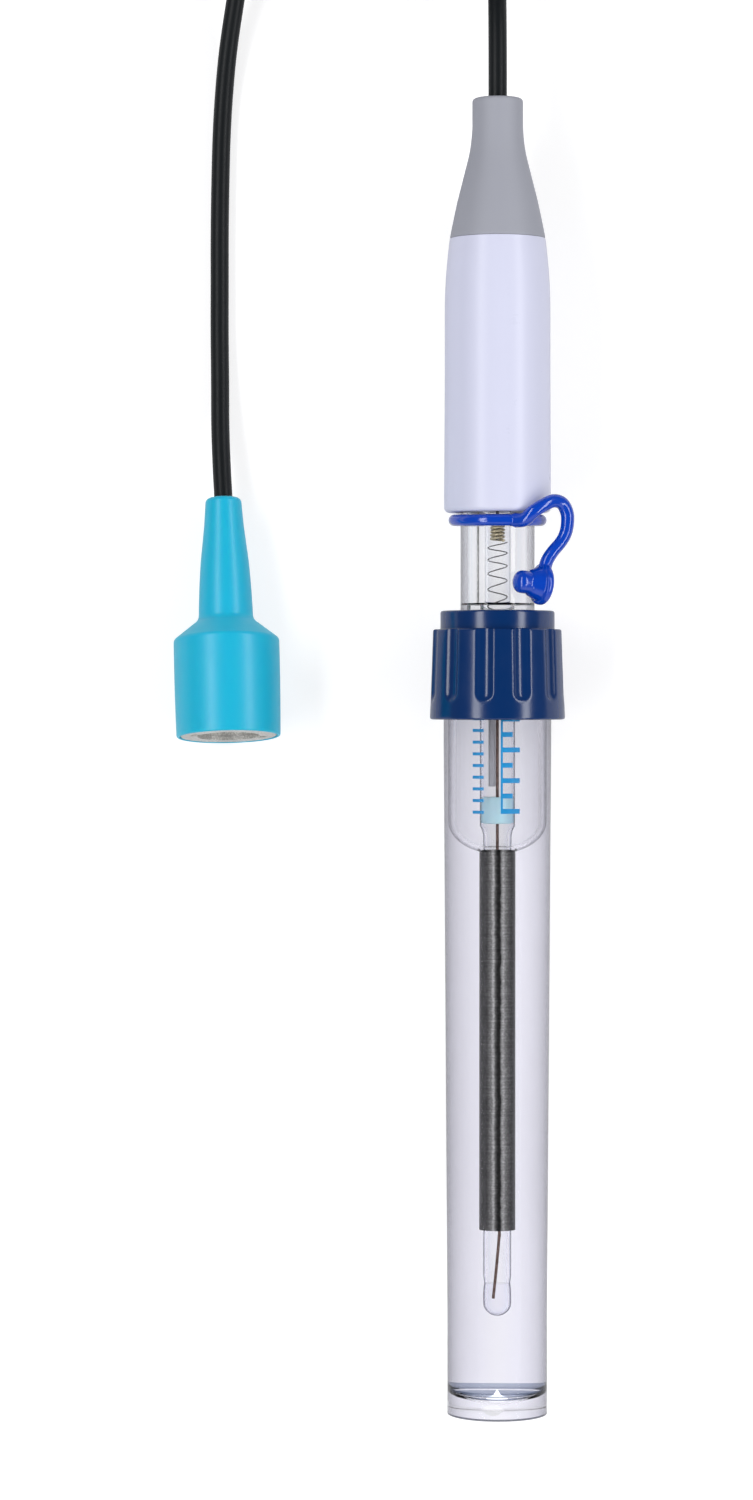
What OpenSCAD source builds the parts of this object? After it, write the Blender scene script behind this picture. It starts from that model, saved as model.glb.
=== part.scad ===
// Combination pH electrode lying on a surface, with its storage vial screwed on and a plug on its cable.
// Each piece is modelled upright, with its own axis along +Z, and laid down by laid() or plugged().
// Laid down, +Y runs from the vial's foot to the cable, +X is to the right and the surface is Z = 0.

/* [Glass shaft] */
// Outside diameter of the glass shaft
shaft_d = 12; // [11:0.5:12.5]
// Wall of the glass shaft
shaft_wall = 1; // [0.8:0.1:1.3]
// Length of the shaft that shows below the head
shaft_shown = 55.2; // [50:0.2:70]
// Length of the shaft that is held in the head
shaft_held = 17; // [14:1:20]
// Height of the rounded shoulder at the shaft's lower end
shoulder_h = 5.2; // [4:0.2:6]
// Diameter of the filling hole in the shaft
fill_hole_d = 3; // [2:0.5:3.5]
// Distance of the filling hole below the head
fill_hole_drop = 10; // [9:0.5:12]

/* [Stem and tip] */
// Outside diameter of the steel sleeve
sleeve_d = 4.4; // [4.2:0.1:5]
// Wall of the steel sleeve
sleeve_wall = 0.25; // [0.2:0.05:0.3]
// Length of the steel sleeve that shows below the shoulder
sleeve_shown = 60.9; // [50:1:70]
// Length of the steel sleeve inside the shoulder
sleeve_held = 2; // [1.5:0.5:3]
// Outside diameter of the glass stem in the sleeve
stem_d = 3.4; // [3.2:0.1:3.4]
// Wall of the glass stem
stem_wall = 0.5; // [0.4:0.1:0.7]
// Length of glass below the sleeve, pH membrane included
tip_len = 13.9; // [11:0.5:16]
// Height of the pH membrane
membrane_h = 5.3; // [4:0.1:6]
// Wall of the pH membrane
membrane_wall = 0.35; // [0.3:0.05:0.5]

/* [Inner tube and wires] */
// Outside diameter of the inner tube
tube_d = 4.2; // [4:0.1:4.6]
// Wall of the inner tube
tube_wall = 0.6; // [0.5:0.1:0.8]
// Height of the tapered end of the inner tube
taper_h = 1.6; // [1:0.2:3]
// Height of the blue seal at the bottom of the inner tube
blue_seal_h = 4; // [3:0.5:6]
// Diameter of the measuring wire
wire_d = 0.4; // [0.3:0.05:0.5]
// Diameter of the grey reference rod beside the wire
rod_d = 0.85; // [0.6:0.05:1]
// Length of the grey rod
rod_len = 24; // [18:1:26]
// Slant of the last stretch of wire, in the tip
wire_slant = 4; // [0:0.5:5]
// Diameter of the helix wire
helix_wire_d = 0.28; // [0.2:0.02:0.35]
// Diameter of the helix at the middle of its wire
helix_d = 2.4; // [2:0.1:2.5]
// Turns of the helix
helix_turns = 6; // [4:1:8]
// Diameter of the wire of the contact spring
spring_wire_d = 0.45; // [0.3:0.05:0.5]
// Turns of the contact spring
spring_turns = 5; // [3:1:6]

/* [Head and strain relief] */
// Largest diameter of the head
head_d = 17.3; // [16.5:0.1:18.5]
// Diameter of the head where the strain relief starts
head_top_d = 15.5; // [14.5:0.1:16]
// Height of the head
head_h = 44.2; // [38:0.2:50]
// Height of the rounded upper end of the head
head_round_h = 12; // [8:0.5:14]
// Wall of the head round its cavity
head_wall = 1.6; // [1.2:0.1:2]
// Height of the strain relief
relief_h = 22.7; // [20:0.1:28]
// Diameter of the strain relief's neck
relief_neck_d = 8.2; // [7:0.1:9]
// Height of the strain relief's neck
relief_neck_h = 8.2; // [6:0.2:10]
// Depth of the strain relief's spigot in the head
spigot_h = 3; // [2:0.5:4]
// Diameter of the strain relief's spigot
spigot_d = 10; // [9:0.5:11]

/* [Cap and seals] */
// Wall of the cap's skirt at its upper edge
cap_wall = 1.425; // [1.3:0.025:1.8]
// Widening of the cap's skirt down to its rim
cap_flare = 0.5; // [0.3:0.05:0.8]
// Height of the cap's skirt
cap_skirt_h = 14.6; // [12:0.2:18]
// Diameter of the cap's collar
cap_collar_d = 18.5; // [18:0.1:19.5]
// Height of the cap's collar
cap_collar_h = 3; // [2.5:0.1:4]
// Number of grip flutes
flutes = 11; // [8:1:16]
// Width of a grip flute
flute_w = 2.6; // [2:0.1:3]
// Depth of a grip flute
flute_depth = 0.55; // [0.3:0.05:0.7]
// Distance from the rim to the round end of a flute
flute_foot = 3.1; // [2:0.1:5]
// Thickness of the washer between the vial and the shaft seal
washer_t = 1.2; // [1:0.1:1.4]
// Thickness of the shaft seal's flange
seal_t = 1.8; // [1.6:0.1:2]
// Height that the seal's lip stands above the cap
lip_h = 0.1; // [0:0.1:1]

/* [Vial] */
// Outside diameter of the vial's foot
vial_foot_d = 16.2; // [15.6:0.1:16.6]
// Outside diameter of the vial at its mouth
vial_d = 17.45; // [17:0.05:17.8]
// Wall of the vial at its mouth
vial_wall = 1.3; // [1:0.1:1.5]
// Height of the vial
vial_h = 123.3; // [115:0.1:140]
// Thickness of the vial's floor
vial_floor = 3.6; // [2.5:0.1:4.5]
// Height of the straight foot, below the draft
foot_h = 16; // [10:1:20]
// Rounding of the foot's outer edge
foot_round = 1; // [0.5:0.1:1.4]
// Gap between the vial's floor and the electrode's tip
tip_gap = 12.6; // [8:0.2:16]
// Length of the vial's mouth inside the cap
vial_in_cap = 10.6; // [9.8:0.1:10.8]

/* [Stopper] */
// Wire diameter of the stopper's ring
ring_t = 1.9; // [1.6:0.1:2.2]
// Diameter of the stopper's strap
strap_d = 2.2; // [1.8:0.1:2.4]
// Diameter of the plug's flange
flange_d = 6.7; // [6:0.1:7]
// Thickness of the plug's flange
flange_t = 1.2; // [1:0.1:1.4]
// Length of the plug from the back of its flange
stopper_plug_h = 5.6; // [5:0.1:6]

/* [Plug] */
// Diameter of the boot's body
boot_d = 17.2; // [16.8:0.1:18]
// Length of the boot's body, up to the middle of its shoulder rounding
boot_body_h = 15.5; // [15:0.1:17]
// Rounding of the boot's shoulder
boot_round = 0.9; // [0.7:0.1:1.2]
// Length of the whole boot
boot_h = 39.3; // [36:0.1:44]
// Diameter of the boot's tail at its thick end
tail_d = 8.9; // [8:0.1:9.5]
// Diameter of the boot's tail at its end
tail_end_d = 6; // [5.4:0.1:6.6]
// Outside diameter of the coupling sleeve
coupling_d = 14.5; // [14:0.1:14.7]
// Bore of the coupling sleeve
coupling_bore_d = 9.8; // [9.7:0.05:9.9]
// Length of the coupling sleeve
coupling_h = 15; // [14.6:0.1:15.4]
// Diameter of a bayonet slot
slot_d = 2.2; // [2:0.05:2.4]
// Rise of a bayonet slot, from the mouth to its seat
slot_rise = 5.4; // [5:0.1:6]
// Turn of a bayonet slot, from the mouth to its seat
slot_turn = 80; // [70:5:95]
// Outside diameter of the contact cage
cage_d = 8.1; // [8:0.05:8.2]
// Wall of the contact cage
cage_wall = 0.55; // [0.4:0.05:0.6]
// Number of slits in the contact cage
cage_slits = 4; // [3:1:6]
// Diameter of the centre pin
pin_d = 1.35; // [1.3:0.01:1.4]
// Length of the centre pin ahead of the insulator
pin_len = 5.3; // [4:0.1:5.5]
// Lift of the mouth of the plug as it lies
plug_lift = 6.5; // [0:0.5:8]

/* [Cable] */
// Diameter of the cable
cable_d = 3; // [2.8:0.1:3.2]
// Diameter of the stored coil at the middle of its turns
coil_d = 35; // [33:0.5:36]
// Turns side by side in the coil
coil_wide = 3; // [3:1:4]
// Layers of turns in the coil
coil_high = 3; // [2:1:3]
// Thickness of the tie round the coil
tie_t = 0.4; // [0.3:0.1:0.6]
// Width of the tie, as an angle of the coil
tie_angle = 20; // [12:1:30]

/* [Hidden] */
$fn = 64;

// Clearance of a glued or pressed seat, and of a piece that turns
seat = 0.02;
running = 0.05;
// Room round a soft piece
soft_gap = 0.3;
// Overlap of cutting tools past the faces that they cut
cut = 1;
// Steps in a drawn arc
steps = 10;

// Heights along the electrode, from the underside of the vial
cap_z = vial_h - vial_in_cap;
collar_z = cap_z + cap_skirt_h;
cap_top_z = collar_z + cap_collar_h;
shown_len = tip_len + sleeve_shown + shaft_shown;
plug_sag = 1.8;
hang_h = fill_hole_drop + plug_sag + flange_d / 2;
// The tip stands clear of the floor, and the hanging plug clear of the cap of a taller vial
tip_z = max(vial_floor + tip_gap, cap_top_z + soft_gap + hang_h - shown_len);
sleeve_z = tip_z + tip_len;
shoulder_z = sleeve_z + sleeve_shown;
shaft_z = shoulder_z + shoulder_h;
head_z = shoulder_z + shaft_shown;
shaft_top_z = head_z + shaft_held;
relief_z = head_z + head_h;
top_z = relief_z + relief_h;
// The elliptic shoulder meets the sleeve this far above its own lowest plane
sleeve_rise = shoulder_h * (1 - sqrt(1 - pow(sleeve_d / shaft_d, 2)));

// Bores and inner radii
shaft_r = shaft_d / 2;
shaft_bore_r = shaft_r - shaft_wall;
sleeve_bore_r = sleeve_d / 2 - sleeve_wall;
tube_bore_r = tube_d / 2 - tube_wall;
stem_bore_r = stem_d / 2 - stem_wall;
cable_bore_r = cable_d / 2 + 0.1;

// Inner tube and what it holds
taper_z = shoulder_z + 2.9;
seal_z = taper_z + taper_h;
rod_z = seal_z + blue_seal_h + 2.4;
rod_top_z = rod_z + rod_len;
rod_x = -(rod_d + wire_d) / 2 - seat;
wire_end_z = tip_z + 2.8;
slant_z = sleeve_z - 0.6;
spring_top_z = head_z - 1.7;
spring_pitch = spring_wire_d + 0.12;
spring_z = spring_top_z - spring_turns * spring_pitch;
spring_r = 0.72;
clamp_h = 3.4;
lead_top_z = relief_z - spigot_h - clamp_h - seat;

// Bung in the shaft's upper end
bung_h = 5;
bung_z = shaft_top_z - bung_h;
bung_flange_h = 2;
tube_in_bung = 3;
reference_r = (tube_d / 2 + shaft_bore_r) / 2;
reference_turn = 155;
reference_len = 42;

// Cap, seals and vial
cap_bore_r = vial_d / 2 + soft_gap;
cap_skirt_r = cap_bore_r + cap_wall;
cap_rim_r = cap_skirt_r + cap_flare;
lip_r = shaft_r + 0.85;
seal_low_z = vial_h + washer_t;
seal_top_z = seal_low_z + seal_t;
seal_r = cap_bore_r - 0.1;
vial_foot_r = vial_foot_d / 2;
vial_r = vial_d / 2;
vial_bore_r = vial_r - vial_wall;
foot_bore_r = vial_foot_r - vial_wall;
flute_r = (pow(flute_w / 2, 2) + pow(flute_depth, 2)) / (2 * flute_depth);
flute_phase = 19.9;

// Stopper: its ring lies under the head, and its plug hangs beside the filling hole
ring_r = shaft_r + running + ring_t / 2;
ring_z = head_z - soft_gap - ring_t / 2;
fill_turn = -51;
fill_z = head_z - fill_hole_drop;
stopper_plug_at = [7.4, -6.2, fill_z - plug_sag];
stopper_plug_aim = [-0.87, -0.45, 0.1];
strap_x = 11.05;
strap_route = [[2.6, -6.5, ring_z], [4.1, -7.6, ring_z], [5.6, -8.3, head_z - 0.1],
               [7.2, -7.9, head_z + 0.9], [8.8, -7.0, head_z + 1.6], [10.2, -6.2, head_z + 1.2],
               [11, -5.8, head_z - 0.3], [strap_x, -5.8, head_z - 2.1], [10.7, -5.9, head_z - 3.7],
               [9.9, -6.1, head_z - 5.1], [8.7, -6.4, head_z - 6.5], [7.8, -6.5, head_z - 7.9],
               [7.4, -6.4, head_z - 9.2], [7.3, -6.3, head_z - 10.4]];

// The electrode lies on the cap's rim and on the edge of the vial's foot, so its axis leans a little
lean_run = cap_z - foot_round;
lean_rise = cap_rim_r - vial_foot_r + foot_round;
lean = atan2(lean_rise, lean_run) - asin(foot_round / norm([lean_rise, lean_run]));
rest_x = (cap_rim_r - strap_x - strap_d / 2) / 2;
rest_y = -(top_z * cos(lean) + relief_neck_d / 2 * sin(lean) - vial_foot_r * sin(lean)) / 2;
rest_z = cap_rim_r * cos(lean) - cap_z * sin(lean);

// Plug, measured from its mouth, which is its local Z = 0
boot_r = boot_d / 2;
boot_mouth_r = boot_r - 0.15;
tail_z = boot_body_h + 3.7;
sleeve_lip_r = coupling_d / 2 + 0.7;
sleeve_lip_h = 1;
sleeve_mouth_z = 0.1;
body_z = 10.4;
body_flange_t = 1.8;
body_flange_r = coupling_d / 2 - 1.4;
hub_r = 5;
hub_top_z = coupling_h + 0.9;
spigot_r = cable_d / 2 + 0.35;
spigot_len = 3;
neck_z = 12.9;
insulator_z = 5;
ferrule_z = coupling_h + 2;
hub_bore_z = coupling_h - 0.5;
ferrule_h = 9;
ferrule_r = cable_d / 2 + 1;
cage_z = 2.2;
plug_yaw = 1.5;
plug_at = [-44.2, 3.4, (boot_r - boot_round) * cos(plug_lift) + boot_body_h * sin(plug_lift) + boot_round];

// Routes of the cable. The stretches inside the strain relief and the plug follow those pieces' axes.
upper_route = [on_shaft(lead_top_z), on_shaft(relief_z + 6), on_shaft(top_z), [-0.6, 112, 13.5],
               [-0.7, 118, 12.8], [-0.8, 124, 11], [-1.1, 130, 8.4], [-1.6, 136, 5.6], [-2.3, 142, 3.4],
               [-3.2, 147, 2.2], [-3.9, 152, 1.9]];
lower_route = [on_plug(ferrule_z + ferrule_h - 4), on_plug(34), on_plug(boot_h), [-45.5, 47, 4.9],
               [-45.8, 54, 3.6], [-45.9, 62, 2.2], [-46, 70, 1.6], [-46, 78, 1.5], [-46, 86, 1.5],
               [-45.9, 94, 1.5], [-45.7, 102, 1.5], [-45.3, 109, 1.8], [-44.6, 116, 2.9], [-43.5, 123, 4.6],
               [-42.2, 130, 6.4], [-40.9, 137, 7.5], [-39.7, 144, 8], [-39, 151, 8]];
coil_at = [-21.5, 151];
turn_pitch = cable_d + 0.05;

// Points of an arc with centre c and radius r, from angle a0 to a1
function arc(c, r, a0, a1, n = steps) =
    [for (i = [0:n]) let (a = a0 + (a1 - a0) * i / n) c + r * [cos(a), sin(a)]];

// Points of an elliptic arc with half-axes h, from angle a0 to a1
function oval(c, h, a0, a1, n = steps) =
    [for (i = [0:n]) let (a = a0 + (a1 - a0) * i / n) c + [h[0] * cos(a), h[1] * sin(a)]];

// Points of a curve that leaves a towards m and comes in to b from it
function bend(a, m, b, n = steps) =
    [for (i = [0:n]) let (t = i / n) (1 - t) * (1 - t) * a + 2 * t * (1 - t) * m + t * t * b];

// Where a height on the electrode's axis, or on the plug's axis, lies once the part is laid down
function on_shaft(z) = [rest_x, rest_y + z * cos(lean), rest_z + z * sin(lean)];
function on_plug(z) =
    plug_at + z * [-sin(plug_yaw) * cos(plug_lift), cos(plug_yaw) * cos(plug_lift), -sin(plug_lift)];

// A smooth curve through points p: n steps on each span, by the Catmull-Rom rule
function pick(p, i) = p[max(0, min(len(p) - 1, i))];
function between(a, b, c, d, t) =
    0.5 * (2 * b + (c - a) * t + (2 * a - 5 * b + 4 * c - d) * t * t + (3 * b - a - 3 * c + d) * t * t * t);
function smooth_route(p, n) =
    concat([for (i = [0:len(p) - 2], j = [0:n - 1])
            between(pick(p, i - 1), p[i], p[i + 1], pick(p, i + 2), j / n)], [p[len(p) - 1]]);

// Rings of a round tube along path p. up(i) is a direction that the path never follows at point i.
function unit(v) = v / norm(v);
function heading(p, i) = unit(pick(p, i + 1) - pick(p, i - 1));
function ring_at(c, t, up, r, sides) =
    let (u = unit(cross(t, up)), v = cross(u, t))
    [for (k = [0:sides - 1]) c + r * (cos(360 * k / sides) * u + sin(360 * k / sides) * v)];

// A closed tube over rings of points
module skin(rings) {
    n = len(rings[0]);
    last = len(rings) - 1;
    polyhedron(points = [for (r = rings) each r],
               faces = concat([[for (k = [n - 1:-1:0]) k]],
                              [for (i = [0:last - 1], k = [0:n - 1])
                               let (a = i * n + k, b = i * n + (k + 1) % n, c = b + n) [a, b, c]],
                              [for (i = [0:last - 1], k = [0:n - 1])
                               let (a = i * n + k, d = a + n, c = (i + 1) * n + (k + 1) % n) [a, c, d]],
                              [[for (k = [0:n - 1]) last * n + k]]));
}

// A cable along route p in the laid frame
module cable(p) {
    color([0.08, 0.09, 0.1])
    skin([for (i = [0:len(p) - 1]) ring_at(p[i], heading(p, i), [0, 0, 1], cable_d / 2, 8)]);
}

// Lays down what is modelled upright round the electrode's axis
module laid() {
    translate([rest_x, rest_y, rest_z])
    rotate([lean - 90, 0, 0])
    children();
}

// Lays down what is modelled upright round the plug's axis, with its mouth at Z = 0
module plugged() {
    translate(plug_at)
    rotate([-90 - plug_lift, 0, plug_yaw])
    children();
}

// A turned piece from points [radius, height]
module turned(points) {
    rotate_extrude()
    polygon(points);
}

// A plain ring or tube
module ring(outer_r, inner_r, z, h) {
    translate([0, 0, z])
    difference() {
        cylinder(r = outer_r, h = h);
        translate([0, 0, -cut])
        cylinder(r = inner_r, h = h + 2 * cut);
    }
}

// Shaft: a tube whose lower end is drawn in to the sleeve, with the filling hole near the head
module glass_shaft() {
    hole_r = sleeve_d / 2 + seat;
    inner_h = shoulder_h - shaft_wall;
    function end_angle(r) = -acos(hole_r / r);
    color([0.85, 0.9, 0.95, 0.4])
    laid()
    difference() {
        turned(concat([[hole_r, shaft_z + inner_h * sin(end_angle(shaft_bore_r))]],
                      oval([0, shaft_z], [shaft_r, shoulder_h], end_angle(shaft_r), 0),
                      [[shaft_r, shaft_top_z], [shaft_bore_r, shaft_top_z]],
                      oval([0, shaft_z], [shaft_bore_r, inner_h], 0, end_angle(shaft_bore_r))));
        rotate([0, 90, fill_turn])
        translate([-fill_z, 0, 0])
        cylinder(d = fill_hole_d, h = shaft_d);
    }
}

// Steel sleeve round the stem, held in the shoulder
module steel_sleeve() {
    color([0.45, 0.45, 0.46])
    laid()
    ring(sleeve_d / 2, sleeve_bore_r, sleeve_z, sleeve_shown + sleeve_rise + sleeve_held);
}

// Porous ring at the sleeve's lower end, the reference junction
module junction_ring() {
    color([0.93, 0.93, 0.9])
    laid()
    ring(sleeve_bore_r - seat, stem_d / 2 + seat, sleeve_z + 0.2, 1.6);
}

// Inner tube: wide in the shaft, tapered to the stem that runs through the sleeve to the membrane
module inner_tube() {
    join_z = tip_z + membrane_h;
    tube_top_z = bung_z + tube_in_bung;
    color([0.85, 0.9, 0.95, 0.4])
    laid()
    turned([[stem_bore_r, join_z], [stem_d / 2, join_z], [stem_d / 2, taper_z], [tube_d / 2, seal_z],
            [tube_d / 2, tube_top_z], [tube_bore_r, tube_top_z], [tube_bore_r, seal_z],
            [stem_bore_r, taper_z]]);
}

// pH membrane: a thin dome blown on the end of the stem, a little narrower at the join
module ph_membrane() {
    r = stem_d / 2;
    neck_r = r - 0.12;
    dome_h = 2.1;
    side_h = 1.2;
    dome_z = tip_z + dome_h;
    color([0.8, 0.85, 0.95, 0.4])
    laid()
    turned(concat(oval([0, dome_z], [r, dome_h], -90, 0),
                  [[r, dome_z + side_h], [neck_r, tip_z + membrane_h]],
                  [[stem_bore_r, tip_z + membrane_h], [r - membrane_wall, dome_z + side_h]],
                  oval([0, dome_z], [r - membrane_wall, dome_h - membrane_wall], 0, -90)));
}

// Measuring wire: straight through the stem, slanted in the tip
module measuring_wire() {
    slant_len = (slant_z - wire_end_z) / cos(wire_slant);
    color([0.45, 0.4, 0.38])
    laid() {
        translate([0, 0, slant_z])
        cylinder(d = wire_d, h = rod_top_z - slant_z);
        translate([0, 0, slant_z]) {
            sphere(d = wire_d);
            rotate([180, wire_slant, 0])
            cylinder(d = wire_d, h = slant_len);
        }
    }
}

// Grey rod beside the wire, in the wide part of the inner tube
module reference_rod() {
    color([0.5, 0.5, 0.53])
    laid()
    translate([rod_x, 0, rod_z])
    cylinder(d = rod_d, h = rod_len);
}

// Light-blue seal at the bottom of the inner tube, with the wire through it
module blue_seal() {
    color([0.65, 0.85, 0.93])
    laid()
    difference() {
        ring(tube_bore_r - seat, wire_d / 2 + seat, seal_z + seat, blue_seal_h);
        translate([0, 0, seal_z + blue_seal_h + 1.9])
        sphere(r = 2.2);
    }
}

// Points of a helix from z0 up by its pitches. Its radius eases from r0 to r in the first turn.
function helix_point(t, r0, r, z0, z1, turns, grow) =
    let (s = t / turns,
         rr = t < 1 ? r0 + (r - r0) * (1 - cos(180 * t)) / 2 : r,
         z = z0 + (z1 - z0) * (s * (1 + grow) - grow * s * s))
    [rr * cos(360 * t), rr * sin(360 * t), z];
module helix(r0, r, z0, z1, turns, grow, wire) {
    per_turn = 14;
    p = [for (i = [0:turns * per_turn]) helix_point(i / per_turn, r0, r, z0, z1, turns, grow)];
    skin([for (i = [0:len(p) - 1]) ring_at(p[i], heading(p, i), [0, 0, 1], wire / 2, 6)]);
}

// Stretched helix from the top of the measuring wire to the contact spring, wider spaced at its foot
module helix_wire() {
    color([0.75, 0.75, 0.75])
    laid()
    helix((wire_d + helix_wire_d) / 2 + seat, helix_d / 2, rod_top_z + helix_wire_d,
          spring_z - helix_wire_d, helix_turns, 0.35, helix_wire_d);
}

// Close-wound contact spring under the head
module contact_spring() {
    color([0.83, 0.68, 0.38])
    laid()
    helix(spring_r, spring_r, spring_z, spring_top_z, spring_turns, 0, spring_wire_d);
}

// Lead from the contact spring to the cable, through the bung
module signal_lead() {
    color([0.75, 0.75, 0.75])
    laid()
    translate([0, 0, spring_z])
    cylinder(d = wire_d, h = lead_top_z - spring_z);
}

// Silver wire in the outer chamber, from the bung down into the electrolyte
module reference_wire() {
    color([0.7, 0.7, 0.7])
    laid()
    rotate([0, 0, reference_turn])
    translate([reference_r, 0, bung_z + bung_flange_h + 5.5 - reference_len])
    cylinder(d = wire_d, h = reference_len);
}

// Rubber bung that closes the shaft's top round the inner tube and the two wires
module shaft_bung() {
    color([0.35, 0.35, 0.37])
    laid()
    difference() {
        turned([[0, bung_z], [shaft_bore_r - seat, bung_z], [shaft_bore_r - seat, shaft_top_z + seat],
                [shaft_r, shaft_top_z + seat], [shaft_r, shaft_top_z + bung_flange_h],
                [0, shaft_top_z + bung_flange_h]]);
        translate([0, 0, bung_z - cut])
        cylinder(r = tube_d / 2 + seat, h = tube_in_bung + cut + seat);
        translate([0, 0, bung_z])
        cylinder(r = wire_d / 2 + seat, h = bung_h + bung_flange_h + cut);
        rotate([0, 0, reference_turn])
        translate([reference_r, 0, bung_z - cut])
        cylinder(r = wire_d / 2 + seat, h = bung_h + bung_flange_h + 2 * cut);
    }
}

// Head: a long shell with a socket for the shaft, a cavity above it and a rounded top
module head_shell() {
    edge = 0.8;
    socket_h = shaft_held + bung_flange_h + seat;
    round_z = relief_z - head_round_h;
    mid_r = head_d / 2 - 0.1;
    cavity_r = head_top_d / 2 - head_wall;
    color([0.82, 0.83, 0.91])
    laid()
    difference() {
        turned(concat([[0, head_z]],
                      arc([head_d / 2 - edge, head_z + edge], edge, -90, 0, 5),
                      [[mid_r, head_z + head_h / 2]],
                      [for (i = [0:steps]) let (t = i / steps)
                       [mid_r - (mid_r - head_top_d / 2) * pow(t, 2), round_z + head_round_h * t]],
                      [[0, relief_z]]));
        translate([0, 0, head_z - cut])
        cylinder(r = shaft_r + seat, h = socket_h + cut);
        translate([0, 0, head_z + socket_h - seat])
        cylinder(r = cavity_r, h = relief_z - spigot_h - head_z - socket_h + seat);
        translate([0, 0, relief_z - spigot_h - cut])
        cylinder(d = spigot_d, h = spigot_h + 2 * cut);
    }
}

// Grey strain relief: it carries on the head's curve, draws in to a neck and is bored for the cable
module strain_relief() {
    r = head_top_d / 2 - 0.05;
    neck_r = relief_neck_d / 2;
    neck_z = top_z - relief_neck_h;
    edge = 0.6;
    color([0.63, 0.64, 0.69])
    laid()
    difference() {
        union() {
            turned(concat([[0, relief_z]],
                          bend([r, relief_z], [r - 0.35, relief_z + 2.2], [r - 1.2, relief_z + 6.1], 6),
                          bend([neck_r + 0.65, neck_z - 1.5], [neck_r + 0.15, neck_z + 0.5],
                               [neck_r, neck_z + 3.6], 6),
                          arc([neck_r - edge, top_z - edge], edge, 0, 90, 5),
                          [[0, top_z]]));
            translate([0, 0, relief_z - spigot_h])
            cylinder(d = spigot_d - 2 * seat, h = spigot_h + seat);
        }
        translate([0, 0, relief_z - spigot_h - cut])
        cylinder(r = cable_bore_r, h = relief_h + spigot_h + 2 * cut);
    }
}

// Crimp on the cable's end, which keeps the cable from pulling out of the strain relief
module cable_clamp() {
    color([0.75, 0.75, 0.75])
    laid()
    ring(cable_d / 2 + 1.1, cable_d / 2 + seat, lead_top_z, clamp_h);
}

// Stopper: ring, strap and plug moulded as one
module refill_stopper() {
    path = smooth_route(strap_route, 2);
    r = flange_d / 2;
    nub_r = fill_hole_d / 2 + 0.15;
    aim = unit(stopper_plug_aim);
    color([0.06, 0.3, 0.72])
    laid() {
        translate([0, 0, ring_z])
        rotate_extrude()
        translate([ring_r, 0])
        circle(d = ring_t);
        skin([for (i = [0:len(path) - 1])
              ring_at(path[i], heading(path, i), [path[i][0], path[i][1], 0], strap_d / 2, 10)]);
        translate(stopper_plug_at)
        rotate([0, acos(aim[2]), atan2(aim[1], aim[0])])
        turned(concat([[0, 0.2], [r * 0.6, 0]], arc([r - 0.4, 0.4], 0.4, -90, 0, 4),
                      [[r, flange_t - 0.4], [r - 0.5, flange_t], [nub_r + 0.1, flange_t + 2],
                       [nub_r - 0.25, flange_t + 2.1], [nub_r - 0.25, flange_t + 2.6]],
                      arc([nub_r - 0.5, stopper_plug_h - 0.9], 0.5, 0, 50, 4),
                      [[0, stopper_plug_h]]));
    }
}

// Screw cap: fluted skirt, narrower collar and a hole that the seal's lip stands in
module screw_cap() {
    slope = atan2(cap_flare, cap_skirt_h);
    edge = 0.4;
    foot_z = cap_z + flute_foot + flute_w / 2;
    foot_r = cap_rim_r - (foot_z - cap_z) * tan(slope);
    color([0.05, 0.17, 0.4])
    laid()
    difference() {
        turned([[0, cap_z], [cap_rim_r - edge, cap_z], [cap_rim_r, cap_z + edge],
                [cap_skirt_r, collar_z - edge], [cap_skirt_r - edge, collar_z],
                [cap_collar_d / 2, collar_z], [cap_collar_d / 2, cap_top_z - edge],
                [cap_collar_d / 2 - edge, cap_top_z], [0, cap_top_z]]);
        for (i = [0:flutes - 1])
            rotate([0, 0, flute_phase + 360 * i / flutes])
            translate([0, -(foot_r - flute_depth + flute_r), foot_z])
            rotate([-slope, 0, 0]) {
                sphere(r = flute_r);
                cylinder(r = flute_r, h = cap_skirt_h);
            }
        translate([0, 0, cap_z - cut])
        cylinder(r = cap_bore_r, h = seal_top_z - cap_z + cut);
        translate([0, 0, cap_z])
        cylinder(r = lip_r + running, h = cap_top_z - cap_z + cut);
    }
}

// Soft seal that grips the shaft, with a flange under the cap's top and a lip through its hole
module shaft_seal() {
    bore_r = shaft_r + seat;
    color([0.9, 0.93, 0.95, 0.6])
    laid()
    turned([[bore_r, seal_low_z], [seal_r, seal_low_z], [seal_r, seal_top_z], [lip_r, seal_top_z],
            [lip_r, cap_top_z], [shaft_r + 0.35, cap_top_z + lip_h], [bore_r, cap_top_z + lip_h]]);
}

// Washer that the vial's rim is screwed against
module seal_washer() {
    color([0.95, 0.95, 0.93])
    laid()
    ring(seal_r, shaft_r + 0.5, vial_h, washer_t);
}

// Storage vial: drafted wall, thick floor and rounded foot
module vial() {
    floor_round = 2;
    mouth_z = cap_z - 4;
    color([0.9, 0.93, 0.97, 0.35])
    laid()
    difference() {
        turned(concat([[0, 0]], arc([vial_foot_r - foot_round, foot_round], foot_round, -90, 0, 5),
                      [[vial_foot_r, foot_h], [vial_r, mouth_z], [vial_r, vial_h], [0, vial_h]]));
        turned(concat([[0, vial_floor]],
                      arc([foot_bore_r - floor_round, vial_floor + floor_round], floor_round, -90, 0, 5),
                      [[foot_bore_r, foot_h], [vial_bore_r, mouth_z],
                       [vial_bore_r, vial_h + cut], [0, vial_h + cut]]));
    }
}

// The cable's two free stretches
module cable_upper() {
    cable(upper_route);
}

module cable_lower() {
    cable(lower_route);
}

// Section of the stored coil, or of its tie when it is grown
module coil_section(grow) {
    translate([coil_d / 2 - coil_wide * turn_pitch / 2 - grow, -grow])
    square([coil_wide * turn_pitch + 2 * grow, coil_high * turn_pitch + 2 * grow]);
}

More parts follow.
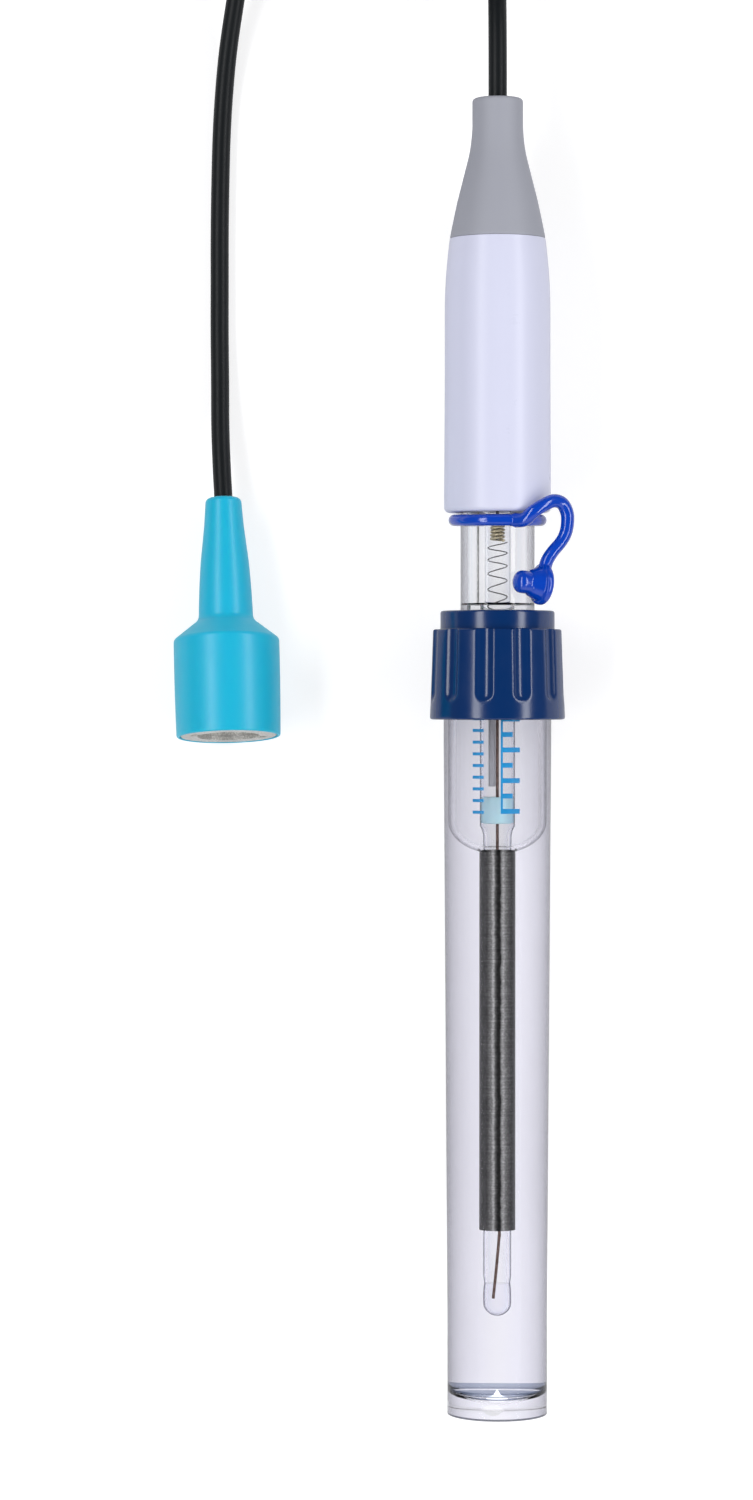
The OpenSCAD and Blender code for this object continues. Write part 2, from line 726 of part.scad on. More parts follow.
// Stored coil, as its outer shape
module cable_coil() {
    color([0.08, 0.09, 0.1])
    translate([coil_at[0], coil_at[1], tie_t])
    rotate_extrude()
    coil_section(0);
}

// Tie round the coil, on its far side
module coil_tie() {
    color([0.12, 0.12, 0.13])
    translate([coil_at[0], coil_at[1], tie_t])
    rotate([0, 0, 90 - tie_angle / 2])
    rotate_extrude(angle = tie_angle)
    difference() {
        coil_section(tie_t);
        coil_section(seat / 2);
    }
}

// Boot: a moulded cover over the coupling sleeve, with a tail that runs out along the cable
module plug_boot() {
    shoulder_r = boot_r - boot_round;
    tail_r = tail_d / 2;
    end_r = tail_end_d / 2;
    edge = 0.6;
    fillet = 0.6;
    color([0.26, 0.74, 0.88])
    plugged()
    difference() {
        turned(concat([[0, 0]], arc([boot_mouth_r - edge, edge], edge, -90, 0, 4),
                      [[boot_r, boot_body_h / 2]],
                      arc([shoulder_r, boot_body_h], boot_round, 0, 52, 5),
                      bend([tail_r + fillet, tail_z - fillet * 0.8], [tail_r, tail_z],
                           [tail_r, tail_z + fillet], 4),
                      [[tail_r - 0.15, tail_z + 4], [tail_r - 0.5, tail_z + 9],
                       [end_r + 0.25, boot_h - 4.5]],
                      arc([end_r - edge + 0.1, boot_h - edge], edge, 0, 90, 4),
                      [[0, boot_h]]));
        translate([0, 0, -cut])
        cylinder(r = sleeve_lip_r + seat, h = sleeve_mouth_z + sleeve_lip_h + seat + cut);
        cylinder(r = coupling_d / 2 + seat, h = coupling_h + 1.3);
        cylinder(r = ferrule_r + soft_gap, h = ferrule_z + ferrule_h + soft_gap);
        cylinder(r = cable_d / 2 + 0.15, h = boot_h + cut);
    }
}

// Coupling sleeve with two bayonet slots: a straight mouth, a ramp and a round seat
module coupling_sleeve() {
    r = coupling_d / 2;
    slot_z = 2;
    slot_r = r - 0.9;
    wall_h = body_z - 1.6;
    module slot_hole(share) {
        rotate([0, 0, slot_turn * share])
        translate([0, 0, slot_z + slot_rise * share])
        rotate([0, 90, 0])
        cylinder(d = slot_d, h = slot_r, $fn = 24);
    }
    color([0.7, 0.71, 0.72])
    plugged()
    difference() {
        turned([[0, sleeve_mouth_z], [sleeve_lip_r - 0.3, sleeve_mouth_z],
                [sleeve_lip_r, sleeve_mouth_z + 0.3], [sleeve_lip_r, sleeve_mouth_z + sleeve_lip_h],
                [r, sleeve_mouth_z + sleeve_lip_h], [r, coupling_h], [0, coupling_h]]);
        translate([0, 0, -cut])
        cylinder(d = coupling_bore_d, h = wall_h + cut);
        translate([0, 0, wall_h - cut])
        cylinder(r = body_flange_r + soft_gap, h = neck_z - wall_h + cut);
        cylinder(r = hub_r + running, h = coupling_h + cut);
        for (side = [0, 180])
            rotate([0, 0, side + 20]) {
                for (share = [0, 1 / 3, 2 / 3])
                    hull() {
                        slot_hole(share);
                        slot_hole(share + 1 / 3);
                    }
                translate([0, -slot_d / 2, -cut])
                cube([slot_r, slot_d, slot_z + cut]);
            }
    }
}

// Plug body: slit contact cage, flange and hub for the coupling, and a spigot for the ferrule
module plug_body() {
    cage_r = cage_d / 2;
    bore_r = cage_r - cage_wall;
    core_r = wire_d / 2 + 0.5;
    color([0.78, 0.78, 0.76])
    plugged()
    difference() {
        turned([[bore_r, cage_z], [cage_r - 0.2, cage_z], [cage_r, cage_z + 0.3], [cage_r, body_z],
                [body_flange_r, body_z], [body_flange_r, body_z + body_flange_t],
                [hub_r, body_z + body_flange_t],
                [hub_r, hub_top_z], [spigot_r, hub_top_z], [spigot_r, ferrule_z + spigot_len],
                [core_r, ferrule_z + spigot_len], [core_r, hub_bore_z], [bore_r, hub_bore_z]]);
        for (i = [0:cage_slits - 1])
            rotate([0, 0, 360 * i / cage_slits])
            translate([0, -0.25, 0])
            cube([cage_r + cut, 0.5, body_z - 1.4]);
    }
}

// Gasket in front of the flange, which the mating socket's rim meets
module plug_gasket() {
    color([0.75, 0.2, 0.15])
    plugged()
    ring(coupling_bore_d / 2 - 0.05, cage_d / 2 + seat, body_z - 0.9, 0.9);
}

// Spring washer between the body's flange and the coupling's inner shoulder
module spring_washer() {
    z = body_z + body_flange_t;
    color([0.6, 0.6, 0.6])
    plugged()
    ring(body_flange_r - 0.1, hub_r + seat, z, neck_z - z - running);
}

// Ring behind the coupling, which keeps it on the hub
module retaining_ring() {
    color([0.7, 0.7, 0.7])
    plugged()
    ring(hub_r + 1, hub_r + seat, coupling_h + running, 0.8);
}

// White insulator in the cage, bored for the centre pin
module plug_insulator() {
    color([0.95, 0.95, 0.94])
    plugged()
    difference() {
        turned([[0, insulator_z + pin_len - 1.6], [2.4, insulator_z + pin_len - 1.6],
                [2.4, insulator_z + pin_len], [cage_d / 2 - cage_wall - seat, insulator_z + pin_len],
                [cage_d / 2 - cage_wall - seat, hub_bore_z - seat], [0, hub_bore_z - seat]]);
        cylinder(r = pin_d / 2 + seat, h = boot_h);
    }
}

// Centre pin with a rounded nose
module centre_pin() {
    color([0.85, 0.7, 0.35])
    plugged()
    turned(concat(arc([0, insulator_z - 1.6 + pin_d / 2], pin_d / 2, -90, 0, 6),
                  [[pin_d / 2, hub_bore_z - seat], [0, hub_bore_z - seat]]));
}

// Ferrule crimped over the cable's screen on the body's spigot
module crimp_ferrule() {
    color([0.75, 0.75, 0.72])
    plugged()
    difference() {
        ring(ferrule_r, cable_d / 2 + seat, ferrule_z, ferrule_h);
        translate([0, 0, ferrule_z - cut])
        cylinder(r = spigot_r + seat, h = spigot_len + cut + seat);
    }
}

glass_shaft();
steel_sleeve();
junction_ring();
inner_tube();
ph_membrane();
measuring_wire();
reference_rod();
blue_seal();
helix_wire();
contact_spring();
signal_lead();
reference_wire();
shaft_bung();
head_shell();
strain_relief();
cable_clamp();
refill_stopper();
screw_cap();
shaft_seal();
seal_washer();
vial();
cable_upper();
cable_coil();
coil_tie();
cable_lower();
plug_boot();
coupling_sleeve();
plug_body();
plug_gasket();
spring_washer();
retaining_ring();
plug_insulator();
centre_pin();
crimp_ferrule();
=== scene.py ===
"""Looks of a combination pH electrode that lies on a pale floor with its storage vial on and its plug beside it.

Sizes in the classes are millimetres and each piece is worked out upright round its own axis, foot down. A Seat then
lays it down, in metres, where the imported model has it. The front of an upright piece, its -Y side, faces up.
"""

import logging
import math
from collections.abc import Callable, Sequence
from dataclasses import dataclass
from enum import Enum
from functools import cache
from typing import ClassVar

import bpy
import numpy as np
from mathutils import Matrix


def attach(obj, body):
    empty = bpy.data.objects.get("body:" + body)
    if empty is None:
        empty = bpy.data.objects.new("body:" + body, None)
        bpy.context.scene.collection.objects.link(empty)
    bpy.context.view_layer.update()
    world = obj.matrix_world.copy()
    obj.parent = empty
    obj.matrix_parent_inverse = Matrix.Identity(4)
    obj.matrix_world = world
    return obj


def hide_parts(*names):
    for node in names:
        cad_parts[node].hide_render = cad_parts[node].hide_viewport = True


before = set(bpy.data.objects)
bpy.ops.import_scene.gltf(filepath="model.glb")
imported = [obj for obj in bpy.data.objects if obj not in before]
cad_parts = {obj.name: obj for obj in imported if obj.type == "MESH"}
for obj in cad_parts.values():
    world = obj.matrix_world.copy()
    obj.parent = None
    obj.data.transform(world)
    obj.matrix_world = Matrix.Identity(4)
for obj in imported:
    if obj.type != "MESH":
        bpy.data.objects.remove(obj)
log = logging.getLogger("ph_electrode")
MM = 0.001
Point = tuple[float, float, float]
Colour = tuple[float, float, float]
WHITE = (1.0, 1.0, 1.0, 1.0)  # of light, in scene-linear values
PURE = (255, 255, 255)  # of glass without a tint, in display values


class Body(str, Enum):
    """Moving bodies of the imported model."""

    ELECTRODE = "electrode"
    VIAL = "vial"
    CAP = "cap"
    STOPPER = "stopper"
    COUPLING = "coupling"


@dataclass(frozen=True)
class Seat:
    """Rest place of an upright axis.

    Attributes:
        foot: where the local origin lies, in mm of the row frame.
        tilt: turn about X in degrees, made first.
        yaw: turn about Z in degrees, made second.
    """

    foot: Point
    tilt: float
    yaw: float = 0.0

    def turn(self) -> np.ndarray:
        """Rotation matrix Rz(yaw) Rx(tilt)."""
        t, y = math.radians(self.tilt), math.radians(self.yaw)
        about_x = np.array([[1, 0, 0], [0, math.cos(t), -math.sin(t)], [0, math.sin(t), math.cos(t)]])
        about_z = np.array([[math.cos(y), -math.sin(y), 0], [math.sin(y), math.cos(y), 0], [0, 0, 1]])
        return about_z @ about_x

    def place(self, points: Sequence[float] | np.ndarray) -> np.ndarray:
        """Row-frame points in mm of local upright points: foot + R p."""
        return np.asarray(self.foot) + np.asarray(points, float) @ self.turn().T

    def on_axis(self, height: float) -> np.ndarray:
        """Row-frame point in mm at a height on the axis."""
        return self.place((0.0, 0.0, height))


@dataclass(frozen=True)
class Layout:
    """Heights on the electrode's axis and the sizes that decide how it and the plug lie, in mm."""

    tip: float = 16.2
    sleeve: float = 30.1
    shoulder: float = 91.0
    shaft: float = 96.2
    cap: float = 112.7
    head: float = 146.2
    shaft_top: float = 163.2
    relief: float = 190.4
    top: float = 213.1
    cap_rim_r: float = 10.95
    vial_foot_r: float = 8.1
    foot_round: float = 1.0
    strap_reach: float = 12.15
    relief_neck_r: float = 4.1
    boot_r: float = 8.6
    boot_round: float = 0.9
    boot_body: float = 15.5
    plug_at: tuple[float, float] = (-44.2, 3.4)
    plug_lift: float = 6.5
    plug_yaw: float = 1.5

    def lean(self) -> float:
        """Angle in degrees at which the axis lies on the cap's rim and the rounded edge of the vial's foot."""
        run = self.cap - self.foot_round
        rise = self.cap_rim_r - self.vial_foot_r + self.foot_round
        return math.degrees(math.atan2(rise, run) - math.asin(self.foot_round / math.hypot(rise, run)))

    def electrode(self) -> Seat:
        """Seat of the electrode, with the middle of its box over the origin."""
        lean = math.radians(self.lean())
        span = self.top * math.cos(lean) + (self.relief_neck_r - self.vial_foot_r) * math.sin(lean)
        lift = self.cap_rim_r * math.cos(lean) - self.cap * math.sin(lean)
        return Seat(((self.cap_rim_r - self.strap_reach) / 2, -span / 2, lift), self.lean() - 90)

    def plug(self) -> Seat:
        """Seat of the plug, which lies on the boot's shoulder with its mouth a little raised."""
        lift = math.radians(self.plug_lift)
        height = (self.boot_r - self.boot_round) * math.cos(lift) + self.boot_body * math.sin(lift) + self.boot_round
        return Seat((*self.plug_at, height), -90 - self.plug_lift, self.plug_yaw)


LAYOUT = Layout()
SHAFT_SEAT = LAYOUT.electrode()
PLUG_SEAT = LAYOUT.plug()
FLAT_SEAT = Seat((0.0, 0.0, 0.0), 0.0)
GLASS_OVER_WATER = 1.128  # index of thick glass over that of the liquid against it
GLASS_OVER_SOLUTION = 1.15  # the same for the thin glass of the shaft and its tubes
METAL_NODES = ("coupling_sleeve", "plug_body", "spring_washer", "retaining_ring", "crimp_ferrule")


# Curves and surfaces


def arc(centre: Sequence[float], radius: float, start: float, end: float, steps: int = 10) -> np.ndarray:
    """Points c + r (cos a, sin a) for angles a from start to end, in degrees."""
    return oval(centre, (radius, radius), start, end, steps)


def oval(centre: Sequence[float], axes: Sequence[float], start: float, end: float, steps: int = 24) -> np.ndarray:
    """Points c + (p cos a, q sin a) for half-axes p and q and angles a in degrees."""
    a = np.radians(np.linspace(start, end, steps + 1))
    return np.asarray(centre) + np.stack([axes[0] * np.cos(a), axes[1] * np.sin(a)], -1)


def bend(a: Sequence[float], m: Sequence[float], b: Sequence[float], steps: int = 12) -> np.ndarray:
    """Points (1-t)^2 a + 2t(1-t) m + t^2 b: a curve that leaves a towards m and reaches b from it."""
    t = np.linspace(0, 1, steps + 1)[:, None]
    return (1 - t) ** 2 * np.asarray(a) + 2 * t * (1 - t) * np.asarray(m) + t**2 * np.asarray(b)


def line(a: Sequence[float], b: Sequence[float], steps: int) -> np.ndarray:
    """Points a + t (b - a) for t from 0 to 1."""
    t = np.linspace(0, 1, steps + 1)[:, None]
    return np.asarray(a) + t * (np.asarray(b) - np.asarray(a))


def rounded(corners: Sequence[Sequence[float]], steps: int = 5) -> np.ndarray:
    """A closed outline whose corners are rounded.

    Each corner P with radius r becomes an arc between P + u t and P + v t, where u and v point along its two edges,
    which meet at the angle A, and t = r / tan(A / 2). The arc is drawn as a quadratic curve with P as its middle.

    Args:
        corners: rows of (radius, height, rounding).
        steps: points on each arc.

    Returns:
        Points of the outline, one row each.
    """
    data = np.asarray(corners, float)
    p, r = data[:, :2], data[:, 2]
    back, ahead = np.roll(p, 1, 0) - p, np.roll(p, -1, 0) - p
    u = back / np.linalg.norm(back, axis=1)[:, None]
    v = ahead / np.linalg.norm(ahead, axis=1)[:, None]
    half = np.arccos(np.clip((u * v).sum(1), -1, 1)) / 2
    t = (r / np.tan(half))[:, None]
    return np.concatenate([
        bend(p[i] + u[i] * t[i], p[i], p[i] + v[i] * t[i], steps) if r[i] > 0 else p[i : i + 1] for i in range(len(p))
    ])


def spline(points: Sequence[Sequence[float]], spacing: float) -> np.ndarray:
    """A smooth path through points, by the Catmull-Rom rule, drawn again at an even spacing.

    Between b and c, with neighbours a and d: p(t) = (2b + (c-a)t + (2a-5b+4c-d)t^2 + (3b-a-3c+d)t^3) / 2.

    Args:
        points: the points that the path goes through.
        spacing: distance between the points of the result.

    Returns:
        Points of the path.
    """
    p = np.asarray(points, float)
    p = np.concatenate([2 * p[:1] - p[1:2], p, 2 * p[-1:] - p[-2:-1]])
    a, b, c, d = (p[i : len(p) - 3 + i, None] for i in range(4))
    t = np.linspace(0, 1, 24, endpoint=False)[None, :, None]
    fine = (2 * b + (c - a) * t + (2 * a - 5 * b + 4 * c - d) * t**2 + (3 * b - a - 3 * c + d) * t**3) / 2
    return even(np.concatenate([fine.reshape(-1, p.shape[1]), p[-2:-1]]), spacing)


def even(path: np.ndarray, spacing: float) -> np.ndarray:
    """The same path with points at equal steps of its own length."""
    run = np.concatenate([[0], np.cumsum(np.linalg.norm(np.diff(path, axis=0), axis=1))])
    at = np.linspace(0, run[-1], max(2, int(round(run[-1] / spacing)) + 1))
    return np.stack([np.interp(at, run, path[:, k]) for k in range(path.shape[1])], -1)


def revolve(profile: np.ndarray, segments: int = 96, start: float = 0.0, sweep: float = 360.0) -> np.ndarray:
    """Grid of a turned surface: P(i, j) = (r_i cos a_j, r_i sin a_j, z_i).

    Args:
        profile: rows of (radius, height), up along the outside.
        segments: steps round the axis.
        start: first angle in degrees.
        sweep: angle covered, 360 for a whole turn.

    Returns:
        Array of rows x columns x 3. A whole turn leaves out the last column, which is the first one again.
    """
    a = np.radians(start + np.linspace(0, sweep, segments + 1))
    a = a[:-1] if sweep >= 360 else a
    r, z = profile[:, :1], profile[:, 1:]
    return np.stack([r * np.cos(a), r * np.sin(a), z + 0 * a], -1)


def joined(*runs: Sequence) -> np.ndarray:
    """One profile of several runs of points."""
    return np.concatenate(runs)


def painted(*runs: tuple[np.ndarray, int | np.ndarray]) -> tuple[np.ndarray, np.ndarray]:
    """One profile of several runs of points, and the material number of each point's row of faces."""
    return (np.concatenate([points for points, _ in runs]),
            np.concatenate([np.broadcast_to(number, len(points)) for points, number in runs]))


def carry(path: np.ndarray, radius: np.ndarray | float, sides: int, coiled: bool = False) -> np.ndarray:
    """Grid of a tube along a path: P(i, k) = c_i + r_i (cos b_k u_i + sin b_k v_i), closed at both ends.

    The side direction u is square to the path and to the axis that the path follows least, or, on a coil round Z,
    points away from Z. The other, v, is square to the path and to u.

    Args:
        path: centre-line points.
        radius: one radius or one for each point.
        sides: points round the tube.
        coiled: True for a coil round Z.

    Returns:
        Array of rows x columns x 3, with a row at each end drawn in to the centre.
    """
    along = np.gradient(path, axis=0)
    along /= np.linalg.norm(along, axis=1)[:, None]
    if coiled:
        out = path * np.array([1.0, 1.0, 0.0])
        u = out - (out * along).sum(1)[:, None] * along
    else:
        u = np.cross(along, np.eye(3)[np.argmin(np.abs(along).max(0))])
    u /= np.linalg.norm(u, axis=1)[:, None]
    v = np.cross(along, u)
    b = 2 * np.pi * np.arange(sides) / sides
    r = np.broadcast_to(np.asarray(radius, float), len(path))[:, None, None]
    ring = path[:, None] + r * (np.cos(b)[:, None] * u[:, None] + np.sin(b)[:, None] * v[:, None])
    ends = np.repeat(path[[0, -1], None], sides, axis=1)
    return np.concatenate([ends[:1], ring, ends[1:]])


@dataclass
class Skin:
    """A mesh: points in mm and faces of three or four points, each with a material number."""

    points: np.ndarray
    faces: list[list[int]]
    paint: list[int]

    @classmethod
    def of_grid(cls, grid: np.ndarray, loop_rows: bool = False, loop_cols: bool = True,
                paint: Sequence[int] | None = None) -> "Skin":
        """A skin over a grid of points. Points that coincide are welded, so poles and seams close.

        Args:
            grid: rows x columns x 3.
            loop_rows: True where the last row joins the first.
            loop_cols: True where the last column joins the first.
            paint: material number of each row of faces.

        Returns:
            The skin, facing outwards where rows run up the outside and columns run counter-clockwise.
        """
        rows, cols = grid.shape[:2]
        flat = grid.reshape(-1, 3)
        _, first, index = np.unique(np.round(flat, 5), axis=0, return_index=True, return_inverse=True)
        index = index.reshape(rows, cols)
        i, j = np.meshgrid(np.arange(rows - (not loop_rows)), np.arange(cols - (not loop_cols)), indexing="ij")
        up, side = (i + 1) % rows, (j + 1) % cols
        quad = np.stack([index[i, j], index[i, side], index[up, side], index[up, j]], -1).reshape(-1, 4)
        row = i.ravel()
        number = np.zeros(rows, int) if paint is None else np.asarray(paint)
        same = quad == np.roll(quad, -1, axis=1)
        whole, cut = same.sum(1) == 0, same.sum(1) == 1
        triangle = quad[cut][~same[cut]].reshape(-1, 3)
        painted = np.concatenate([number[row[whole]], number[row[cut]]])
        return cls(flat[first], quad[whole].tolist() + triangle.tolist(), painted.tolist())

    @classmethod
    def turned(cls, profile: np.ndarray, segments: int = 96, paint: Sequence[int] | None = None,
               loop: bool = False) -> "Skin":
        """A skin turned round the axis from a profile, which is closed where loop is True."""
        return cls.of_grid(revolve(profile, segments), loop_rows=loop, paint=paint)

    def __add__(self, other: "Skin") -> "Skin":
        """Both skins as one mesh."""
        faces = self.faces + [[n + len(self.points) for n in f] for f in other.faces]
        return Skin(np.concatenate([self.points, other.points]), faces, self.paint + other.paint)

    def turned_by(self, matrix: np.ndarray, shift: Sequence[float]) -> "Skin":
        """The same skin with each point p moved to M p + s."""
        return Skin(self.points @ matrix.T + np.asarray(shift), self.faces, self.paint)

    def piece(self, name: str, seat: Seat = SHAFT_SEAT, sharp: float = 40.0) -> bpy.types.Object:
        """Makes the object, smooth shaded and with its place in its mesh.

        Args:
            name: the object's name.
            seat: where the upright piece lies.
            sharp: edges that turn more than this many degrees stay crisp.

        Returns:
            The new object.
        """
        mesh = bpy.data.meshes.new(name)
        mesh.from_pydata((seat.place(self.points) * MM).tolist(), [], self.faces)
        mesh.polygons.foreach_set("material_index", self.paint)
        mesh.polygons.foreach_set("use_smooth", [True] * len(self.faces))
        mesh.update()
        mesh.set_sharp_from_angle(angle=math.radians(sharp))
        return linked(name, mesh)


def linked(name: str, data: bpy.types.ID) -> bpy.types.Object:
    """A new object in the scene for a mesh, a lamp or a camera."""
    made = bpy.data.objects.new(name, data)
    bpy.context.scene.collection.objects.link(made)
    return made


# Finishes


def shade(red: float, green: float, blue: float) -> tuple[float, float, float, float]:
    """Scene-linear colour of a display colour from 0 to 255: ((c + 0.055) / 1.055) ^ 2.4, or c / 12.92 if dark."""
    c = np.array([red, green, blue]) / 255
    low, high = c / 12.92, ((c + 0.055) / 1.055) ** 2.4
    return (*np.where(c <= 0.04045, low, high).tolist(), 1.0)


class Wiring:
    """Short forms for building one node tree."""

    def __init__(self, tree: bpy.types.NodeTree) -> None:
        """Keeps the tree."""
        self.tree = tree

    def node(self, kind: str, settings: dict | None = None, **sockets: object) -> bpy.types.Node:
        """Adds a node.

        Args:
            kind: its type, without the ShaderNode in front.
            settings: its own properties.
            **sockets: plain values or sockets for its inputs, by name with _ for a space.

        Returns:
            The node.
        """
        made = self.tree.nodes.new("ShaderNode" + kind)
        for key, value in (settings or {}).items():
            setattr(made, key, value)
        self.feed_all(made.inputs, {key.replace("_", " "): value for key, value in sockets.items()})
        return made

    def feed_all(self, inputs: bpy.types.NodeInputs, values: dict) -> None:
        """Feeds each named or numbered input."""
        for key, value in values.items():
            self.feed(inputs[key], value)

    def feed(self, socket: bpy.types.NodeSocket, value: object) -> None:
        """Links a socket to an input, or sets the input's own value."""
        if isinstance(value, bpy.types.NodeSocket):
            self.tree.links.new(value, socket)
        else:
            socket.default_value = value

    def math(self, operation: str, a: object, b: object = 0.0) -> bpy.types.NodeSocket:
        """Output of a Math node on two values."""
        made = self.node("Math", {"operation": operation})
        self.feed_all(made.inputs, {0: a, 1: b})
        return made.outputs[0]

    def span(self, value: object, low: float, high: float, to_low: float, to_high: float) -> bpy.types.NodeSocket:
        """Output of a clamped, smooth Map Range node."""
        return self.node("MapRange", {"interpolation_type": "SMOOTHSTEP"}, Value=value, From_Min=low, From_Max=high,
                         To_Min=to_low, To_Max=to_high).outputs[0]

    def ramp(self, value: object, stops: Sequence[tuple[float, Colour]]) -> bpy.types.NodeSocket:
        """Colour output of a ramp through display colours at the given values."""
        made = self.node("ValToRGB", Fac=value)
        points = made.color_ramp.elements
        while len(points) < len(stops):
            points.new(1.0)
        for point, (at, colour) in zip(points, stops):
            point.position, point.color = at, shade(*colour)
        return made.outputs[0]

    def mix(self, factor: object, a: object, b: object, blend: str = "MIX") -> bpy.types.NodeSocket:
        """Colour output of a Mix node."""
        made = self.node("Mix", {"data_type": "RGBA", "blend_type": blend})
        self.feed_all(made.inputs, {0: factor, 6: a, 7: b})
        return made.outputs[2]

    def noise(self, vector: object, scale: object, detail: float = 2.0,
              roughness: float = 0.5) -> bpy.types.NodeSocket:
        """Value of a 3D noise."""
        return self.node("TexNoise", Vector=vector, Scale=scale, Detail=detail, Roughness=roughness).outputs[0]


def begin(name: str) -> tuple[bpy.types.Material, Wiring, bpy.types.Node]:
    """A new node material, its wiring and its Principled shader."""
    material = bpy.data.materials.new(name)
    material.use_nodes = True
    return material, Wiring(material.node_tree), material.node_tree.nodes["Principled BSDF"]


class Effects:
    """Node groups that more than one material uses. They give only colours, values and heights.

    Attributes:
        BROAD, RUBBED: patches per metre of the mottling and of the rubbed places.
        SPECKS: specks per metre of turned metal.
    """

    BROAD: ClassVar[float] = 90.0
    RUBBED: ClassVar[float] = 320.0
    SPECKS: ClassVar[float] = 3400.0

    def __init__(self) -> None:
        """Builds the groups once."""
        self.moulded = self._group("moulded_skin", self._moulded,
                                   {"Colour": "Color", "Mottle": "Float", "Grain": "Float", "Roughness": "Float"})
        self.turned = self._group("turned_rings", self._turned,
                                  {"Colour": "Color", "Rings": "Float", "Roughness": "Float"})

    @staticmethod
    def _group(name: str, fill: Callable, inputs: dict[str, str]) -> bpy.types.NodeTree:
        """A group with the given inputs and a Vector, and Colour, Roughness and Height outputs."""
        tree = bpy.data.node_groups.new(name, "ShaderNodeTree")
        tree.interface.new_socket("Vector", in_out="INPUT", socket_type="NodeSocketVector")
        for key, kind in inputs.items():
            tree.interface.new_socket(key, in_out="INPUT", socket_type="NodeSocket" + kind)
        for key, kind in (("Colour", "Color"), ("Roughness", "Float"), ("Height", "Float")):
            tree.interface.new_socket(key, in_out="OUTPUT", socket_type="NodeSocket" + kind)
        w = Wiring(tree)
        source = tree.nodes.new("NodeGroupInput").outputs
        w.feed_all(tree.nodes.new("NodeGroupOutput").inputs, fill(w, source))
        return tree

    @staticmethod
    def _moulded(w: Wiring, source: object) -> dict[str, object]:
        """Moulded plastic or rubber: broad faint mottling, a fine grain, and rubbed patches that are smoother."""
        broad = w.noise(source["Vector"], Effects.BROAD, 3.0)
        grain = w.noise(source["Vector"], source["Grain"], 2.0, 0.6)
        rubbed = w.noise(source["Vector"], Effects.RUBBED, 4.0, 0.65)
        darker = w.mix(1.0, source["Colour"], (0.82, 0.82, 0.84, 1.0), "MULTIPLY")
        colour = w.mix(w.math("MULTIPLY", broad, source["Mottle"]), source["Colour"], darker)
        rough = w.math("ADD", source["Roughness"], w.math("MULTIPLY", w.math("SUBTRACT", rubbed, 0.5), 0.14))
        height = w.math("ADD", grain, w.math("MULTIPLY", broad, 1.5))
        return {"Colour": colour, "Roughness": rough, "Height": height}

    @staticmethod
    def _turned(w: Wiring, source: object) -> dict[str, object]:
        """Turned metal: rings of uneven depth along the axis, duller where they are deep, with finer specks."""
        apart = w.node("SeparateXYZ", Vector=source["Vector"])
        along = w.math("MULTIPLY", apart.outputs[2], source["Rings"])
        line_at = w.node("CombineXYZ", X=w.math("MULTIPLY", apart.outputs[0], 30.0), Y=0.0, Z=along).outputs[0]
        fine = w.noise(line_at, 1.0, 4.0, 0.7)
        specks = w.noise(source["Vector"], Effects.SPECKS, 3.0, 0.7)
        dull = w.mix(1.0, source["Colour"], (0.45, 0.45, 0.45, 1.0), "MULTIPLY")
        colour = w.mix(w.span(w.math("MULTIPLY", fine, specks), 0.18, 0.36, 0.75, 0.0), source["Colour"], dull)
        rough = w.math("ADD", source["Roughness"], w.math("MULTIPLY", fine, 0.16))
        return {"Colour": colour, "Roughness": rough, "Height": fine}


EFFECTS = Effects()


@dataclass(frozen=True)
class Finish:
    """What every finish has: a name, a display colour and the seat whose local axis its pattern follows."""

    name: str
    colour: Colour
    seat: Seat = SHAFT_SEAT

    def start(self) -> tuple[bpy.types.Material, Wiring, bpy.types.Node, bpy.types.NodeSocket]:
        """An empty node material, its wiring, its Principled shader and the piece's local upright coordinates."""
        material, w, shader = begin(self.name)
        turn = (math.radians(self.seat.tilt), 0.0, math.radians(self.seat.yaw))
        place = w.node("Mapping", {"vector_type": "TEXTURE"}, Vector=w.node("TexCoord").outputs["Object"],
                       Location=[c * MM for c in self.seat.foot], Rotation=turn)
        material.diffuse_color = shade(*self.colour)
        return material, w, shader, place.outputs[0]


@dataclass(frozen=True)
class Moulding(Finish):
    """Moulded plastic or rubber.

    Attributes:
        roughness: of the plain surface.
        grain: grains per metre.
        depth: height of the grain in mm.
        mottle: strength of the broad darker patches.
        coat: weight of a clear sheen over it.
        glow: share of light that passes under the surface.
        shine: strength of the plain reflection, 0.5 for most plastics.
        bloom: weight of the pale rim of soft rubber, half-way from the colour to the grey PALE.
        GLOW_DEPTH: how far in mm the light goes under the surface.
    """

    PALE: ClassVar[float] = 235.0
    GLOW_DEPTH: ClassVar[float] = 1.2

    roughness: float = 0.4
    grain: float = 2500.0
    depth: float = 0.01
    mottle: float = 0.5
    coat: float = 0.0
    glow: float = 0.0
    shine: float = 0.5
    bloom: float = 0.0

    @cache
    def make(self) -> bpy.types.Material:
        """The material, built on first use."""
        material, w, shader, place = self.start()
        skin = w.node("Group", {"node_tree": EFFECTS.moulded}, Vector=place, Colour=shade(*self.colour),
                      Mottle=self.mottle, Grain=self.grain, Roughness=self.roughness).outputs
        bump = w.node("Bump", Height=skin["Height"], Distance=self.depth * MM, Strength=0.6)
        w.feed_all(shader.inputs, {
            "Base Color": skin["Colour"],
            "Roughness": skin["Roughness"],
            "Normal": bump.outputs[0],
            "Coat Weight": self.coat,
            "Coat Roughness": 0.12,
            "Specular IOR Level": self.shine,
            "Sheen Weight": self.bloom,
            "Sheen Tint": shade(*((c + self.PALE) / 2 for c in self.colour)),
            "Subsurface Weight": self.glow,
            "Subsurface Radius": (0.4, 0.7, 1.0),
            "Subsurface Scale": self.GLOW_DEPTH * MM,
        })
        return material


